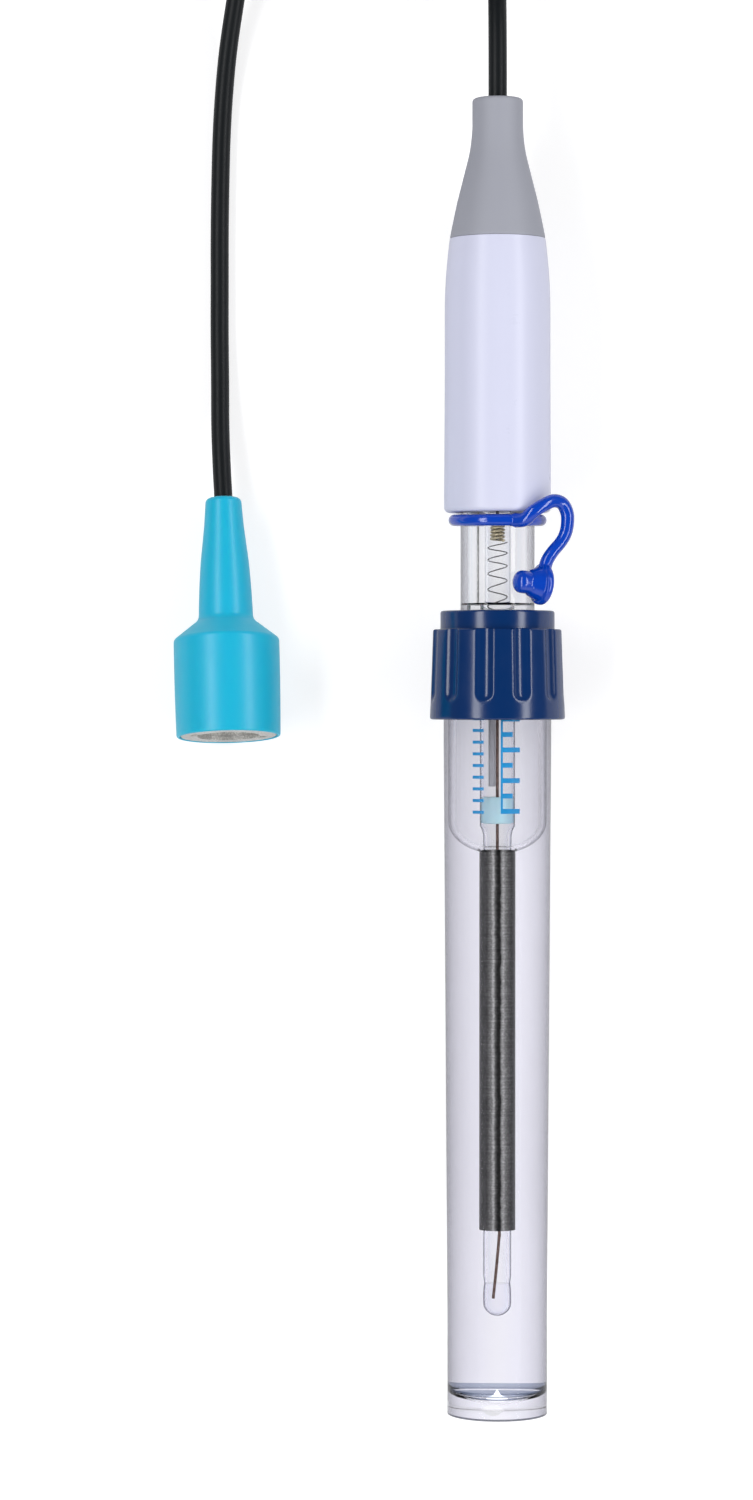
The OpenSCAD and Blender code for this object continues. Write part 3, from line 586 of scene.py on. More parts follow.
@dataclass(frozen=True)
class Metal(Finish):
    """Turned or drawn metal, bright or dully plated.

    Attributes:
        roughness: of the smoothest ring.
        rings: rings per metre along the axis.
        depth: depth of the rings in mm.
        mirror: share of the surface that mirrors. The rest is dull plating.
        painted_light_bands: display greys of painted highlights and painted shade, in bands at shares 0 to 1 of the
            way
        across from -REACH to REACH mm. They wander by a part of WANDER mm.
    """

    REACH: ClassVar[float] = 2.4
    WANDER: ClassVar[float] = 0.6

    roughness: float = 0.22
    rings: float = 2600.0
    depth: float = 0.012
    mirror: float = 1.0
    painted_light_bands: tuple[tuple[float, float], ...] = ()

    @cache
    def make(self) -> bpy.types.Material:
        """The material, built on first use."""
        material, w, shader, place = self.start()
        skin = w.node("Group", {"node_tree": EFFECTS.turned}, Vector=place, Colour=shade(*self.colour),
                      Rings=self.rings, Roughness=self.roughness).outputs
        colour = skin["Colour"]
        # Painted highlights and painted shade: grey bands across the piece's local X, light where lamps would show
        # and dark where the dim room would, wandering a little along the axis.
        if self.painted_light_bands:
            wander = w.math("SUBTRACT", w.noise(place, 260.0, 3.0, 0.7), 0.5)
            wander = w.math("MULTIPLY", wander, self.WANDER * MM)
            across = w.math("ADD", w.node("SeparateXYZ", Vector=place).outputs["X"], wander)
            share = w.span(across, -self.REACH * MM, self.REACH * MM, 0.0, 1.0)
            colour = w.mix(1.0, colour, w.ramp(share, [(at, (g, g, g)) for at, g in self.painted_light_bands]), "MULTIPLY")
        bump = w.node("Bump", Height=skin["Height"], Distance=self.depth * MM, Strength=0.7)
        w.feed_all(shader.inputs, {"Base Color": colour, "Roughness": skin["Roughness"], "Normal": bump.outputs[0],
                                   "Metallic": self.mirror})
        return material


@dataclass(frozen=True)
class Clear(Finish):
    """Glass, or a liquid's surface. Its edges carry painted shade: its colour darkens by facing towards its outline.
    Of lamp light it holds back CAST.

    Attributes:
        ior: index of what lies behind the surface over that of what lies in front of it.
        edges: display colours of the painted edge shade at facing values, from the colour itself at 0, seen square
            on, to 1, seen edge on.
        shine: strength of its reflections seen square on, 1 for clean glass.
        within: display colour of the surface seen from inside the glass, where that differs.
        spark: light that it gives off, a painted highlight for a spot where glass would gather lamp light.
    """

    CAST: ClassVar[float] = 0.12

    ior: float = 1.5
    edges: tuple[tuple[float, Colour], ...] = ()
    shine: float = 0.6
    within: Colour | None = None
    spark: float = 0.0

    @cache
    def make(self) -> bpy.types.Material:
        """The material, built on first use."""
        material, w, shader, place = self.start()
        # Painted shade: the colour darkens by facing, through the edge colours, towards the outline.
        facing = w.node("LayerWeight", Blend=0.5).outputs["Facing"]
        tint_and_edge_shade = w.ramp(facing, ((0.0, self.colour), *self.edges))
        if self.within:
            tint_and_edge_shade = w.mix(w.node("NewGeometry").outputs["Backfacing"], tint_and_edge_shade, shade(*self.within))
        smear = w.noise(place, 140.0, 3.0, 0.6)
        shadow = w.node("LightPath").outputs["Is Shadow Ray"]
        w.feed_all(shader.inputs, {
            "Base Color": tint_and_edge_shade,
            "Roughness": w.span(smear, 0.45, 0.75, 0.0, 0.02),
            "Alpha": w.math("SUBTRACT", 1.0, w.math("MULTIPLY", shadow, 1 - self.CAST)),
            "IOR": self.ior,
            "Specular Tint": (self.shine, self.shine, self.shine, 1),
            "Emission Color": WHITE,
            "Emission Strength": self.spark,
            "Transmission Weight": 1.0,
        })
        return material


def dress(thing: bpy.types.Object, slot: str, *finishes: Finish, body: Body = Body.ELECTRODE,
          replaces: Sequence[str] = ()) -> bpy.types.Object:
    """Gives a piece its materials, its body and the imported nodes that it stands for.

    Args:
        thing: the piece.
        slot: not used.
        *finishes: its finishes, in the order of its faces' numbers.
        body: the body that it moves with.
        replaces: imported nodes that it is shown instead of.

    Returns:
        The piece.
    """
    for finish in finishes:
        thing.data.materials.append(finish.make())
    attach(thing, body.value)
    if replaces:
        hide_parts(*replaces)
    log.info("%s rides on %s with %d faces", thing.name, body.value, len(thing.data.polygons))
    return thing


def repaint(finish: Finish, *nodes: str) -> None:
    """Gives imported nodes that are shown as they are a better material."""
    for node in nodes:
        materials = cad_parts[node].data.materials
        materials.clear()
        materials.append(finish.make())
        log.info("%s is the packed solid with a new finish", node)


# Cable, studio and pieces


@dataclass
class Cable:
    """The free cable, from inside the strain relief to inside the plug's boot, with its spare length in a coil.

    Attributes:
        centre, mean_r: middle and mean radius of the coil.
        pitch: from one slot of the coil's section to the next.
        tie_t, tie_gap, tie_angle: the tie's thickness, its play, and the angle of the coil that it covers.
        first_move, move_early, move_for: angles at which each turn changes its slot, as coil() says.
        slots: places of the turns in the coil's section, in steps outwards and upwards.
        upper, lower: points of the stretches from the head and from the plug to the coil.
    """

    diameter: float = 3.0
    length: float = 1030.0
    centre: tuple[float, float] = (-21.5, 151.0)
    mean_r: float = 17.5
    pitch: float = 3.05
    tie_t: float = 0.4
    tie_gap: float = 0.02
    tie_angle: float = 20.0
    first_move: float = 300.0
    move_early: float = 40.0
    move_for: float = 32.0
    slots: tuple[tuple[int, int], ...] = ((1, 0), (0, 0), (-1, 0), (-1, 1), (0, 1), (1, 1), (1, 2), (0, 2))
    upper: tuple[Point, ...] = (
        (-0.6, 112, 13.5), (-0.6, 118, 12.8), (-0.6, 124, 11), (-0.6, 130, 8.4), (-0.7, 136, 5.6), (-0.8, 142, 3.4),
        (-0.9, 147, 2.2),
    )
    lower: tuple[Point, ...] = (
        (-45.5, 47, 4.9), (-45.8, 54, 3.6), (-45.9, 62, 2.2), (-46, 70, 1.6), (-46, 78, 1.5), (-46, 86, 1.5),
        (-45.9, 94, 1.5), (-45.7, 102, 1.5), (-45.3, 109, 1.8), (-44.6, 116, 2.9), (-43.5, 123, 4.6),
        (-42.2, 130, 6.4), (-40.9, 137, 7.5), (-39.7, 144, 8),
    )

    def coil(self) -> np.ndarray:
        """Centre line of the coil: c + R (cos a, sin a), where R and z change from slot to slot once a turn.

        Turn k keeps slot k until the angle first_move - move_early k of that turn and then eases to slot k + 1 over
        the angle move_for, so that each slot is free before the next turn moves into it.
        """
        turns = len(self.slots) - 0.5
        a = np.arange(0, turns * 360 + 1, 6.0)
        slot = np.asarray(self.slots, float)
        moves = np.arange(len(slot) - 1)
        starts = moves * 360 + self.first_move - self.move_early * moves
        share = np.clip((a[:, None] - starts) / self.move_for, 0, 1)
        eased = (1 - np.cos(np.pi * share)) / 2
        where = slot[0] + eased @ np.diff(slot, axis=0)
        r = self.mean_r + self.pitch * where[:, 0]
        z = self.tie_t + self.pitch * (where[:, 1] + 0.5)
        turn = np.radians(a)
        return np.stack([self.centre[0] + r * np.cos(turn), self.centre[1] + r * np.sin(turn), z], -1)

    def path(self) -> np.ndarray:
        """The whole centre line: strain relief, first stretch, coil, second stretch, boot."""
        start = [SHAFT_SEAT.on_axis(LAYOUT.top - depth) for depth in (20, 12, 6, 0)]
        end = [PLUG_SEAT.on_axis(h) for h in (39.3, 34.0, 28.0)]
        return spline([*start, *self.upper, *self.coil(), *self.lower[::-1], *end], 1.4)

    def tie(self) -> Skin:
        """Band round the coil: a rounded oblong section, turned through the tie's angle and closed at its ends."""
        low, high, top = self.mean_r - 1.5 * self.pitch, self.mean_r + 1.5 * self.pitch, 3 * self.pitch
        sections = []
        for out, r in ((self.tie_t - 2 * self.tie_gap, 0.9), (self.tie_gap, 0.6)):
            loop = rounded([(low - out, -out, r), (high + out, -out, r), (high + out, top + out, r),
                            (low - out, top + out, r)], 6)
            sections.append(revolve(loop, 10, 90 - self.tie_angle / 2, self.tie_angle))
        band = np.concatenate([sections[0], sections[1][:, ::-1], sections[0][:, :1]], 1)
        return Skin.of_grid(band + np.array([*self.centre, self.tie_t]), loop_rows=True, loop_cols=False)

    def build(self) -> None:
        sheath = Moulding("cable_sheath_black", (20, 24, 27), FLAT_SEAT, roughness=0.42, grain=1800, depth=0.02,
                          mottle=0.3, shine=0.22)
        path = self.path()
        cord = Skin.of_grid(carry(path, self.diameter / 2, 16)).piece("cable", FLAT_SEAT)
        dress(cord, "cable_sheath", sheath, replaces=("cable_upper", "cable_coil", "cable_lower"))
        cloth = Moulding("tie_black", (28, 28, 30), FLAT_SEAT, roughness=0.75, grain=3200, depth=0.08)
        band = dress(self.tie().piece("cable_tie_band", FLAT_SEAT), "tie_plastic", cloth, replaces=("coil_tie",))
        (SHAFT_SEAT.on_axis(LAYOUT.top) * MM).tolist()


@dataclass
class Studio:
    """Floor, lamps, world and camera.

    Attributes:
        distance: from the camera to the axis.
        view_angle: of the picture's height, in degrees.
        aim_height: height on the axis of the point that the camera looks at.
        eye_height: height on the axis over which the camera stands.
        aside: how far the camera stands to the right of the axis.
        lamp_distance: from the lamps to the floor's middle.
        lamp_length: of the lamps, along the axis.
        lamps: name, first and last angle from overhead in degrees, below zero on the left, and radiance.
        fill: strength of the even light.
        floor_glow: how brightly the floor shows itself to each kind of ray.
    """

    distance: float = 675.0
    view_angle: float = 20.417
    aim_height: float = 107.75
    eye_height: float = 118.0
    aside: float = -19.6
    lamp_distance: float = 700.0
    lamp_length: float = 1100.0
    lamps: tuple[tuple[str, float, float, float], ...] = (("strip_left", -44, -30, 5.8), ("strip_right", 41, 54, 6.2))
    fill: float = 0.3
    floor_glow: tuple[tuple[str, float], ...] = (("Camera", 0.62), ("Transmission", 0.45), ("Glossy", 0.25))

    def camera(self) -> None:
        """Camera above the electrode, square to its axis near the head and aimed at the middle of the picture."""
        turn = SHAFT_SEAT.turn()
        eye = SHAFT_SEAT.place((self.aside, -self.distance, self.eye_height))
        aim = SHAFT_SEAT.place((self.aside, 0.0, self.aim_height))
        back = (eye - aim) / np.linalg.norm(eye - aim)
        right = turn @ np.array([1.0, 0.0, 0.0])
        up = np.cross(back, right)
        data = bpy.data.cameras.new("camera")
        data.sensor_fit = "VERTICAL"
        data.angle = math.radians(self.view_angle)
        data.clip_start = 0.01
        made = linked("camera", data)
        matrix = np.eye(4)
        matrix[:3] = np.stack([right, up, back, eye * MM], -1)
        made.matrix_world = matrix.T.tolist()
        bpy.context.scene.camera = made

    def floor(self) -> None:
        """Pale floor that the camera, mirrors and glass see as white, with the object's soft shadow."""
        mesh = bpy.data.meshes.new("floor")
        mesh.from_pydata([(-2, -2, 0), (2, -2, 0), (2, 2, 0), (-2, 2, 0)], [], [(0, 1, 2, 3)])
        material, w, shader = begin("floor_white")
        path = w.node("LightPath").outputs
        seen, through, glossy = (w.math("MULTIPLY", path[f"Is {ray} Ray"], glow) for ray, glow in self.floor_glow)
        w.feed_all(shader.inputs, {
            "Emission Strength": w.math("MAXIMUM", seen, w.math("MAXIMUM", through, glossy)),
            "Emission Color": WHITE,
            "Base Color": (0.55, 0.55, 0.56, 1),
            "Roughness": 0.9,
            "Specular IOR Level": 0.0,
        })
        mesh.materials.append(material)
        linked("floor", mesh)

    def lamp(self, name: str, low: float, high: float, radiance: float) -> None:
        """A strip lamp that lies parallel to the electrode between two angles. It isn't seen through glass."""
        middle, half = math.radians((low + high) / 2), math.radians((high - low) / 2)
        reach = self.lamp_distance * MM
        data = bpy.data.lights.new(name, "AREA")
        data.shape = "RECTANGLE"
        data.size, data.size_y = 2 * reach * math.tan(half), self.lamp_length * MM
        data.energy = radiance * math.pi * data.size * data.size_y
        made = linked(name, data)
        made.location = (reach * math.sin(middle), 0.0, reach * math.cos(middle))
        made.rotation_euler = (0.0, middle, 0.0)
        made.visible_transmission = False

    def world(self) -> None:
        """Even fill light. Mirrors and glass see a dim room with a white card at the foot end, the camera white."""
        world = bpy.data.worlds.new("studio")
        world.use_nodes = True
        bpy.context.scene.world = world
        w = Wiring(world.node_tree)
        path = w.node("LightPath").outputs
        way = w.node("SeparateXYZ", Vector=w.node("TexCoord").outputs["Generated"]).outputs
        card = w.span(way[1], -0.9, -0.55, 0.95, 0.0)
        sky = w.math("MAXIMUM", w.span(way[2], 0.0, 0.7, 0.14, 0.05), card)
        mirror = w.math("MAXIMUM", path["Is Glossy Ray"], path["Is Transmission Ray"])
        level = w.math("ADD", w.math("MULTIPLY", mirror, w.math("SUBTRACT", sky, self.fill)), self.fill)
        w.feed_all(world.node_tree.nodes["Background"].inputs,
                   {"Color": WHITE, "Strength": w.math("MAXIMUM", level, path["Is Camera Ray"])})

    def build(self) -> None:
        """Sets the camera, the floor, the world and the lamps."""
        self.camera()
        self.floor()
        self.world()
        for lamp in self.lamps:
            self.lamp(*lamp)
        bpy.context.scene.view_settings.view_transform = "Standard"


@dataclass
class Vial:
    """Storage vial: a drafted glass tube with a thick floor, full of storage solution.

    Attributes:
        foot_r, mouth_r: outer radius at the foot and at the mouth.
        wall, floor: thickness of each.
        foot_h: height of the straight foot, below the drafted wall.
        straight_from: height from which the wall is straight again.
        height: of the whole vial.
        foot_round: rounding of the underside's edge.
        foot_line: height up to which that edge carries a painted dark line of shade.
        pip_r: radius of the pip in the middle of the floor.

    WALL to PIP number its finishes.
    """

    WALL, WET, EDGE, CORNER, PIP = range(5)

    foot_r: float = LAYOUT.vial_foot_r
    mouth_r: float = 8.725
    wall: float = 1.3
    floor: float = 3.6
    foot_h: float = 16.0
    straight_from: float = 108.7
    height: float = 123.3
    foot_round: float = 0.08
    foot_line: float = 0.34
    pip_r: float = 1.5

    def outside(self) -> np.ndarray:
        """Outer profile: a flat underside, a broken edge, a straight foot and a drafted wall."""
        flat = line((0, 0), (self.foot_r - self.foot_round, 0), 4)[:-1]
        edge = arc((self.foot_r - self.foot_round, self.foot_round), self.foot_round, -90, 0, 6)
        wall = line((self.foot_r, self.foot_h), (self.mouth_r, self.straight_from), 30)
        return joined(flat, edge, [[self.foot_r, self.foot_line]], wall)

    def inside(self) -> tuple[np.ndarray, np.ndarray]:
        """Bore profile and its finishes: a tight corner and the foot of a shallow step in painted shade, and a pip in
        the middle of the floor with a painted glint.
        """
        r, low = self.foot_r - self.wall, self.floor
        shelf_out, shelf_in, bowl_out, bowl_in = ((r - 0.7, low - 0.05), (r - 1.3, low - 0.12), (r - 2.3, low - 0.8),
                                                  (self.pip_r, low - 1.6))
        return painted(
            (line((self.mouth_r - self.wall, self.straight_from), (r, self.foot_h), 30), self.WET),
            (bend((r, low + 0.7), (r - 0.05, low), shelf_out, 10), self.CORNER),
            (line(shelf_out, shelf_in, 3)[1:], self.WET),
            (bend(shelf_in, (r - 1.7, low - 0.7), bowl_out, 8)[1:], self.CORNER),
            (line(bowl_out, bowl_in, 4)[1:], self.WET),
            (bend(bowl_in, (0.7, low - 1.0), (0, low + 0.5), 10)[1:], self.PIP),
        )

    def build(self) -> None:
        """Makes the vial. Its bore has the finish of glass that storage solution lies against."""
        bore_r, low, high = self.mouth_r - self.wall, self.straight_from, self.height
        mouth = rounded([(self.mouth_r, high, 0.3), (bore_r, high, 0.3), (bore_r, low, 0), (self.mouth_r, low, 0)], 5)
        profile, paint = painted((self.outside(), self.WALL), (mouth[:-3], self.WALL), (mouth[-3:-2], self.WET),
                                 self.inside())
        # Painted shade: the lowest band of the outer wall gets the dark EDGE finish, a dark line along the foot.
        edge = (profile[:, 1] < self.foot_line - 0.01) & (profile[:, 0] > self.foot_r - self.foot_round - 0.01)
        paint[edge] = self.EDGE
        # Painted shade: the glass's colour darkens by facing towards its outline, here and in the wetted bore, in
        # place of the dark room that refraction shows at a tube's sides.
        vial_edge_shade = ((0.04, (242, 241, 249)), (0.1, (236, 235, 244)), (0.2, (224, 223, 232)), (0.34, (205, 204, 213)),
                 (0.47, (186, 185, 195)), (0.6, (166, 165, 176)), (0.76, (136, 135, 145)), (1.0, (84, 84, 93)))
        finishes = (
            Clear("vial_glass_outer", (248, 247, 252), edges=vial_edge_shade, shine=0.03),
            Clear("vial_glass_wetted", (254, 254, 255), ior=GLASS_OVER_WATER, shine=0.03,
                  edges=((0.62, (253, 253, 254)), (0.82, (158, 167, 185)), (1.0, (112, 121, 140)))),
            # Painted shade: a dark line on the foot's edge, clear when seen from inside the glass.
            Clear("vial_foot_edge_painted_shade", (74, 76, 86), edges=((1.0, (40, 42, 50)),), shine=0.03, within=(246, 245, 251)),
            # Painted shade: the floor's corner and the foot of its step are darker and bluish, for the dark arcs that
            # refraction draws there.
            Clear("vial_floor_corner_painted_shade", (146, 158, 178), ior=GLASS_OVER_WATER, shine=0.3,
                  edges=((0.8, (90, 100, 120)), (1.0, (60, 68, 86)))),
            # Painted highlight: the pip gives off light, as a glint of the lamps in the middle of the floor.
            Clear("vial_floor_pip_painted_glint", (254, 254, 255), ior=GLASS_OVER_WATER, spark=0.9,
                  edges=((1.0, (240, 240, 245)),)),
        )
        dress(Skin.turned(profile, 160, paint).piece("vial_glass"), "vial_glass", *finishes,
              body=Body.VIAL, replaces=("vial",))


@dataclass
class Shaft:
    """Glass shaft, inner tube, stem and pH membrane, with the electrolyte's level under the head."""

    shaft_r: float = 6.0
    wall: float = 1.0
    shoulder_h: float = 5.2
    hole_r: float = 2.22
    dry_from: float = 129.3
    level: float = 131.5
    tube_r: float = 2.1
    tube_bore_r: float = 1.75
    stem_r: float = 1.7
    stem_bore_r: float = 1.2
    taper: float = 93.9
    taper_h: float = 1.6
    tube_top: float = 161.2
    membrane_h: float = 5.3
    membrane_wall: float = 0.35
    dome_h: float = 2.1
    waist: float = 0.12
    creep_h: float = 0.4
    creep_r: float = 0.5

    def body(self) -> Skin:
        """Shaft: an elliptic shoulder, a straight wall and the bore, in four finishes by what lies against them."""
        z, top = LAYOUT.shaft, LAYOUT.shaft_top
        bore_r, bore_h = self.shaft_r - self.wall, self.shoulder_h - self.wall
        outer_end = -math.degrees(math.acos(self.hole_r / self.shaft_r))
        inner_end = -math.degrees(math.acos(self.hole_r / bore_r))
        wet = oval((0, z), (self.shaft_r, self.shoulder_h), outer_end, 0, 30)
        profile, paint = painted(
            (wet, 0),
            (line((self.shaft_r, self.dry_from), (self.shaft_r, top), 4), 1),
            (line((bore_r, top), (bore_r, self.level), 4)[:-1], 2),
            (np.array([[bore_r, self.level]]), 3),
            (oval((0, z), (bore_r, bore_h), 0, inner_end, 30), 3),
            (wet[:1], 3),
        )
        return Skin.turned(profile, 144, paint)

    def tube(self) -> Skin:
        """Inner tube, tapered to the stem that runs through the sleeve."""
        join, low, high = LAYOUT.tip + self.membrane_h, self.taper, self.taper + self.taper_h
        foot = line((self.stem_r - self.waist, join), (self.stem_r, join + 1.2), 3)
        profile, paint = painted(
            (foot, 0),
            (bend((self.stem_r, low), (self.stem_r + 0.05, low + 0.9), (self.tube_r, high), 8), 0),
            (np.array([[self.tube_r, self.level], [self.tube_r, self.tube_top]]), 1),
            (np.array([[self.tube_bore_r, self.tube_top]]), 2),
            (bend((self.tube_bore_r, high), (self.stem_bore_r + 0.05, low + 0.9), (self.stem_bore_r, low), 8), 2),
            (np.array([[self.stem_bore_r, join]]), 0),
            (foot[:1], 0),
        )
        return Skin.turned(profile, paint=paint)

    def membrane(self) -> Skin:
        """Blown bulb: half an ellipse, a short straight wall, a waist at the join and the same again inside."""
        r, wall, foot = self.stem_r, self.membrane_wall, LAYOUT.tip
        dome, join = foot + self.dome_h, foot + self.membrane_h
        profile, paint = painted(
            (oval((0, dome), (r, self.dome_h), -90, 0), 0),
            (bend((r, dome + 0.6), (r + 0.02, join - 1.0), (r - self.waist, join), 10), 0),
            (np.array([[self.stem_bore_r, join]]), 1),
            (oval((0, dome), (r - wall, self.dome_h - wall), 0, -90), 1),
        )
        return Skin.turned(profile, paint=paint)

    def meniscus(self) -> Skin:
        """Electrolyte's surface between the tube and the bore: it creeps up both walls by h e^(-x/c)."""
        r = np.linspace(self.tube_r + 0.01, self.shaft_r - self.wall - 0.01, 30)
        creep = np.exp(-(r - r[0]) / self.creep_r) + np.exp(-(r[-1] - r) / self.creep_r)
        top = np.stack([r, self.level + self.creep_h * (creep - 1)], -1)
        return Skin.turned(top[::-1])

    def build(self) -> None:
        """Makes the glass pieces and the level of the electrolyte."""
        # The edge colours of these glass finishes are painted shade: each wall darkens by facing towards its outline.
        dress(self.body().piece("shaft_glass_body"), "shaft_glass",
              Clear("shaft_glass_in_solution", PURE, ior=GLASS_OVER_SOLUTION,
                    edges=((0.6, (253, 253, 254)), (0.72, (196, 196, 202)), (0.84, (124, 125, 131)),
                           (1.0, (84, 84, 90)))),
              Clear("shaft_glass_in_air", (253, 253, 255),
                    edges=((0.32, (250, 250, 254)), (0.42, (176, 176, 184)), (0.7, (110, 110, 116)),
                           (1.0, (80, 80, 86)))),
              Clear("shaft_bore_in_air", PURE, edges=((0.7, PURE), (1.0, (150, 150, 156)))),
              Clear("shaft_bore_filled", (254, 254, 254), ior=GLASS_OVER_WATER,
                    edges=((0.8, (252, 252, 253)), (1.0, (212, 212, 218)))),
              replaces=("glass_shaft",))
        wet_bore = Clear("tube_bore_wetted", PURE, ior=GLASS_OVER_SOLUTION,
                         edges=((0.7, (244, 245, 250)), (1.0, (176, 178, 190))))
        dress(self.tube().piece("inner_tube_glass"), "inner_glass",
              Clear("tube_glass_wetted", PURE, ior=GLASS_OVER_SOLUTION,
                    edges=((0.44, (246, 247, 251)), (0.56, (190, 194, 206)), (0.68, (84, 86, 98)),
                           (1.0, (40, 41, 48)))),
              Clear("tube_glass_in_air", PURE,
                    edges=((0.5, (246, 247, 251)), (0.76, (196, 200, 210)), (1.0, (110, 112, 122)))),
              wet_bore, replaces=("inner_tube",))
        dress(self.membrane().piece("membrane_bulb"), "membrane_glass",
              Clear("membrane_glass", (250, 250, 254), ior=GLASS_OVER_SOLUTION,
                    edges=((0.42, (244, 245, 251)), (0.54, (150, 150, 164)), (0.66, (58, 58, 70)),
                           (1.0, (34, 34, 44)))),
              wet_bore, replaces=("ph_membrane",))
        # Painted shade: the level's bluish tint and darker edges draw the surface as a faint line.
        dress(self.meniscus().piece("electrolyte_surface"), "shaft_glass",
              Clear("electrolyte_level", (220, 226, 242), ior=1.33,
                    edges=((0.5, (216, 222, 238)), (1.0, (172, 182, 208)))))


@dataclass
class Inner:
    """What stands inside the glass: sleeve, wire, rod, seal, helix and contact spring."""

    sleeve_r: float = 2.2
    sleeve_wall: float = 0.25
    sleeve_top: float = 92.0
    wire_r: float = 0.18
    slant_from: float = 29.5
    wire_end: float = 19.0
    slant: float = 4.0
    aside: float = 0.25
    rod_to: float = 125.9
    seal_r: float = 1.78
    seal_from: float = 95.9
    seal_to: float = 100.2
    helix_gap: float = 0.3
    helix_r: float = 1.2
    helix_wire_r: float = 0.09
    helix_turns: int = 6
    spring_from: float = 141.65
    spring_to: float = 144.5
    spring_r: float = 0.72
    spring_wire_r: float = 0.225
    spring_turns: int = 5

    def sleeve(self) -> Skin:
        """Steel sleeve with broken edges."""
        r, bore, low, high = self.sleeve_r, self.sleeve_r - self.sleeve_wall, LAYOUT.sleeve, self.sleeve_top
        outline = rounded([(bore, low, 0.06), (r, low, 0.1), (r, high, 0.1), (bore, high, 0.06)], 4)
        return Skin.turned(outline, loop=True)

    def wire(self) -> Skin:
        """Measuring wire: down the middle, aside in the stem, then slanted in the tip, with a blunt end."""
        lean, bow = math.tan(math.radians(self.slant)), 0.45
        x, high, down = self.aside, self.slant_from, self.slant_from - self.wire_end
        path = spline([(0, 0, self.rod_to), (0, 0, LAYOUT.shoulder), (x / 2, 0, 60), (x, 0, high + 2), (x, 0, high),
                       (x - lean * down * bow, 0, high - down / 2), (x - lean * down, 0, self.wire_end)], 0.5)
        return Skin.of_grid(carry(path, self.wire_r, 12))

    @staticmethod
    def helix(radius: np.ndarray | float, heights: np.ndarray, turns: float) -> np.ndarray:
        """Helix points (r cos a, r sin a, z) with a from 0 to 360 times the turns."""
        a = 2 * np.pi * turns * np.linspace(0, 1, len(heights))
        return np.stack([radius * np.cos(a), radius * np.sin(a), heights], -1)

    def stretched(self) -> Skin:
        """Stretched helix: z grows by s(1.35 - 0.35 s), so its turns stand wider at the foot."""
        s = np.linspace(0, 1, self.helix_turns * 40)
        low, high = self.rod_to + self.helix_gap, self.spring_from - self.helix_gap
        start_r = self.wire_r + self.helix_wire_r + 0.02
        grow = (1 - np.cos(np.pi * np.clip(s * self.helix_turns, 0, 1))) / 2
        path = self.helix(start_r + (self.helix_r - start_r) * grow, low + (high - low) * s * (1.35 - 0.35 * s),
                          self.helix_turns)
        return Skin.of_grid(carry(path, self.helix_wire_r, 8, coiled=True))

    def spring(self) -> Skin:
        """Close-wound contact spring."""
        heights = np.linspace(self.spring_from, self.spring_to, self.spring_turns * 40)
        path = self.helix(self.spring_r, heights, self.spring_turns)
        return Skin.of_grid(carry(path, self.spring_wire_r, 10, coiled=True))

    def seal(self) -> Skin:
        """Blue seal with a hollow top, as a gel has against glass."""
        r, low, high = self.seal_r, self.seal_from, self.seal_to
        side = rounded([(0, low, 0), (r, low, 0.3), (r, high, 0.05)], 4)[:-1]
        top = bend((r, high), (0.9, high - 0.55), (0, high - 0.5), 10)
        return Skin.turned(joined(side, top), 64)

    def build(self) -> None:
        """Makes the pieces and dresses the rod, the ring, the bung and the leads."""
        # Painted highlights and painted shade across the sleeve: two light bands where the lamps would show, darker
        # at its middle and edges.
        sleeve_light_bands = ((0.04, 104), (0.12, 150), (0.24, 170), (0.32, 240), (0.41, 150), (0.5, 92), (0.59, 88), (0.66, 225),
                 (0.72, 255), (0.79, 196), (0.86, 160), (0.95, 104))
        silver = Metal("silver_drawn", (196, 196, 196), roughness=0.18, rings=900, depth=0.004)
        rows = (
            ("stem_sleeve", self.sleeve(), "sleeve_steel", "steel_sleeve",
             Metal("sleeve_steel_painted_light", (222, 222, 222), roughness=0.3, rings=2800, depth=0.004, painted_light_bands=sleeve_light_bands)),
            ("measuring_wire_line", self.wire(), "dark_wire", "measuring_wire",
             Metal("measuring_wire_dull", (132, 112, 106), roughness=0.5, rings=1500)),
            ("helix_line", self.stretched(), "silver_wire", "helix_wire", silver),
            ("contact_spring_line", self.spring(), "gold_contact", "contact_spring",
             Metal("contact_gold", (255, 242, 208), roughness=0.4, rings=900, depth=0.004, mirror=0.5)),
            ("seal_gel", self.seal(), "blue_gel", "blue_seal",
             Moulding("seal_gel_blue", (200, 236, 248), roughness=0.35, grain=1500, mottle=0.2, glow=0.3)),
        )
        for name, skin, slot, node, finish in rows:
            dress(skin.piece(name), slot, finish, replaces=(node,))
        repaint(Moulding("rod_grey", (168, 169, 176), roughness=0.5, grain=4000), "reference_rod")
        repaint(silver, "signal_lead")
        repaint(Metal("reference_wire_dull", (222, 222, 222), roughness=0.4, rings=900, mirror=0.4), "reference_wire")
        repaint(Moulding("junction_ceramic_white", (238, 237, 232), roughness=0.8, grain=9000), "junction_ring")
        repaint(Moulding("bung_rubber_black", (60, 60, 64), roughness=0.7), "shaft_bung")


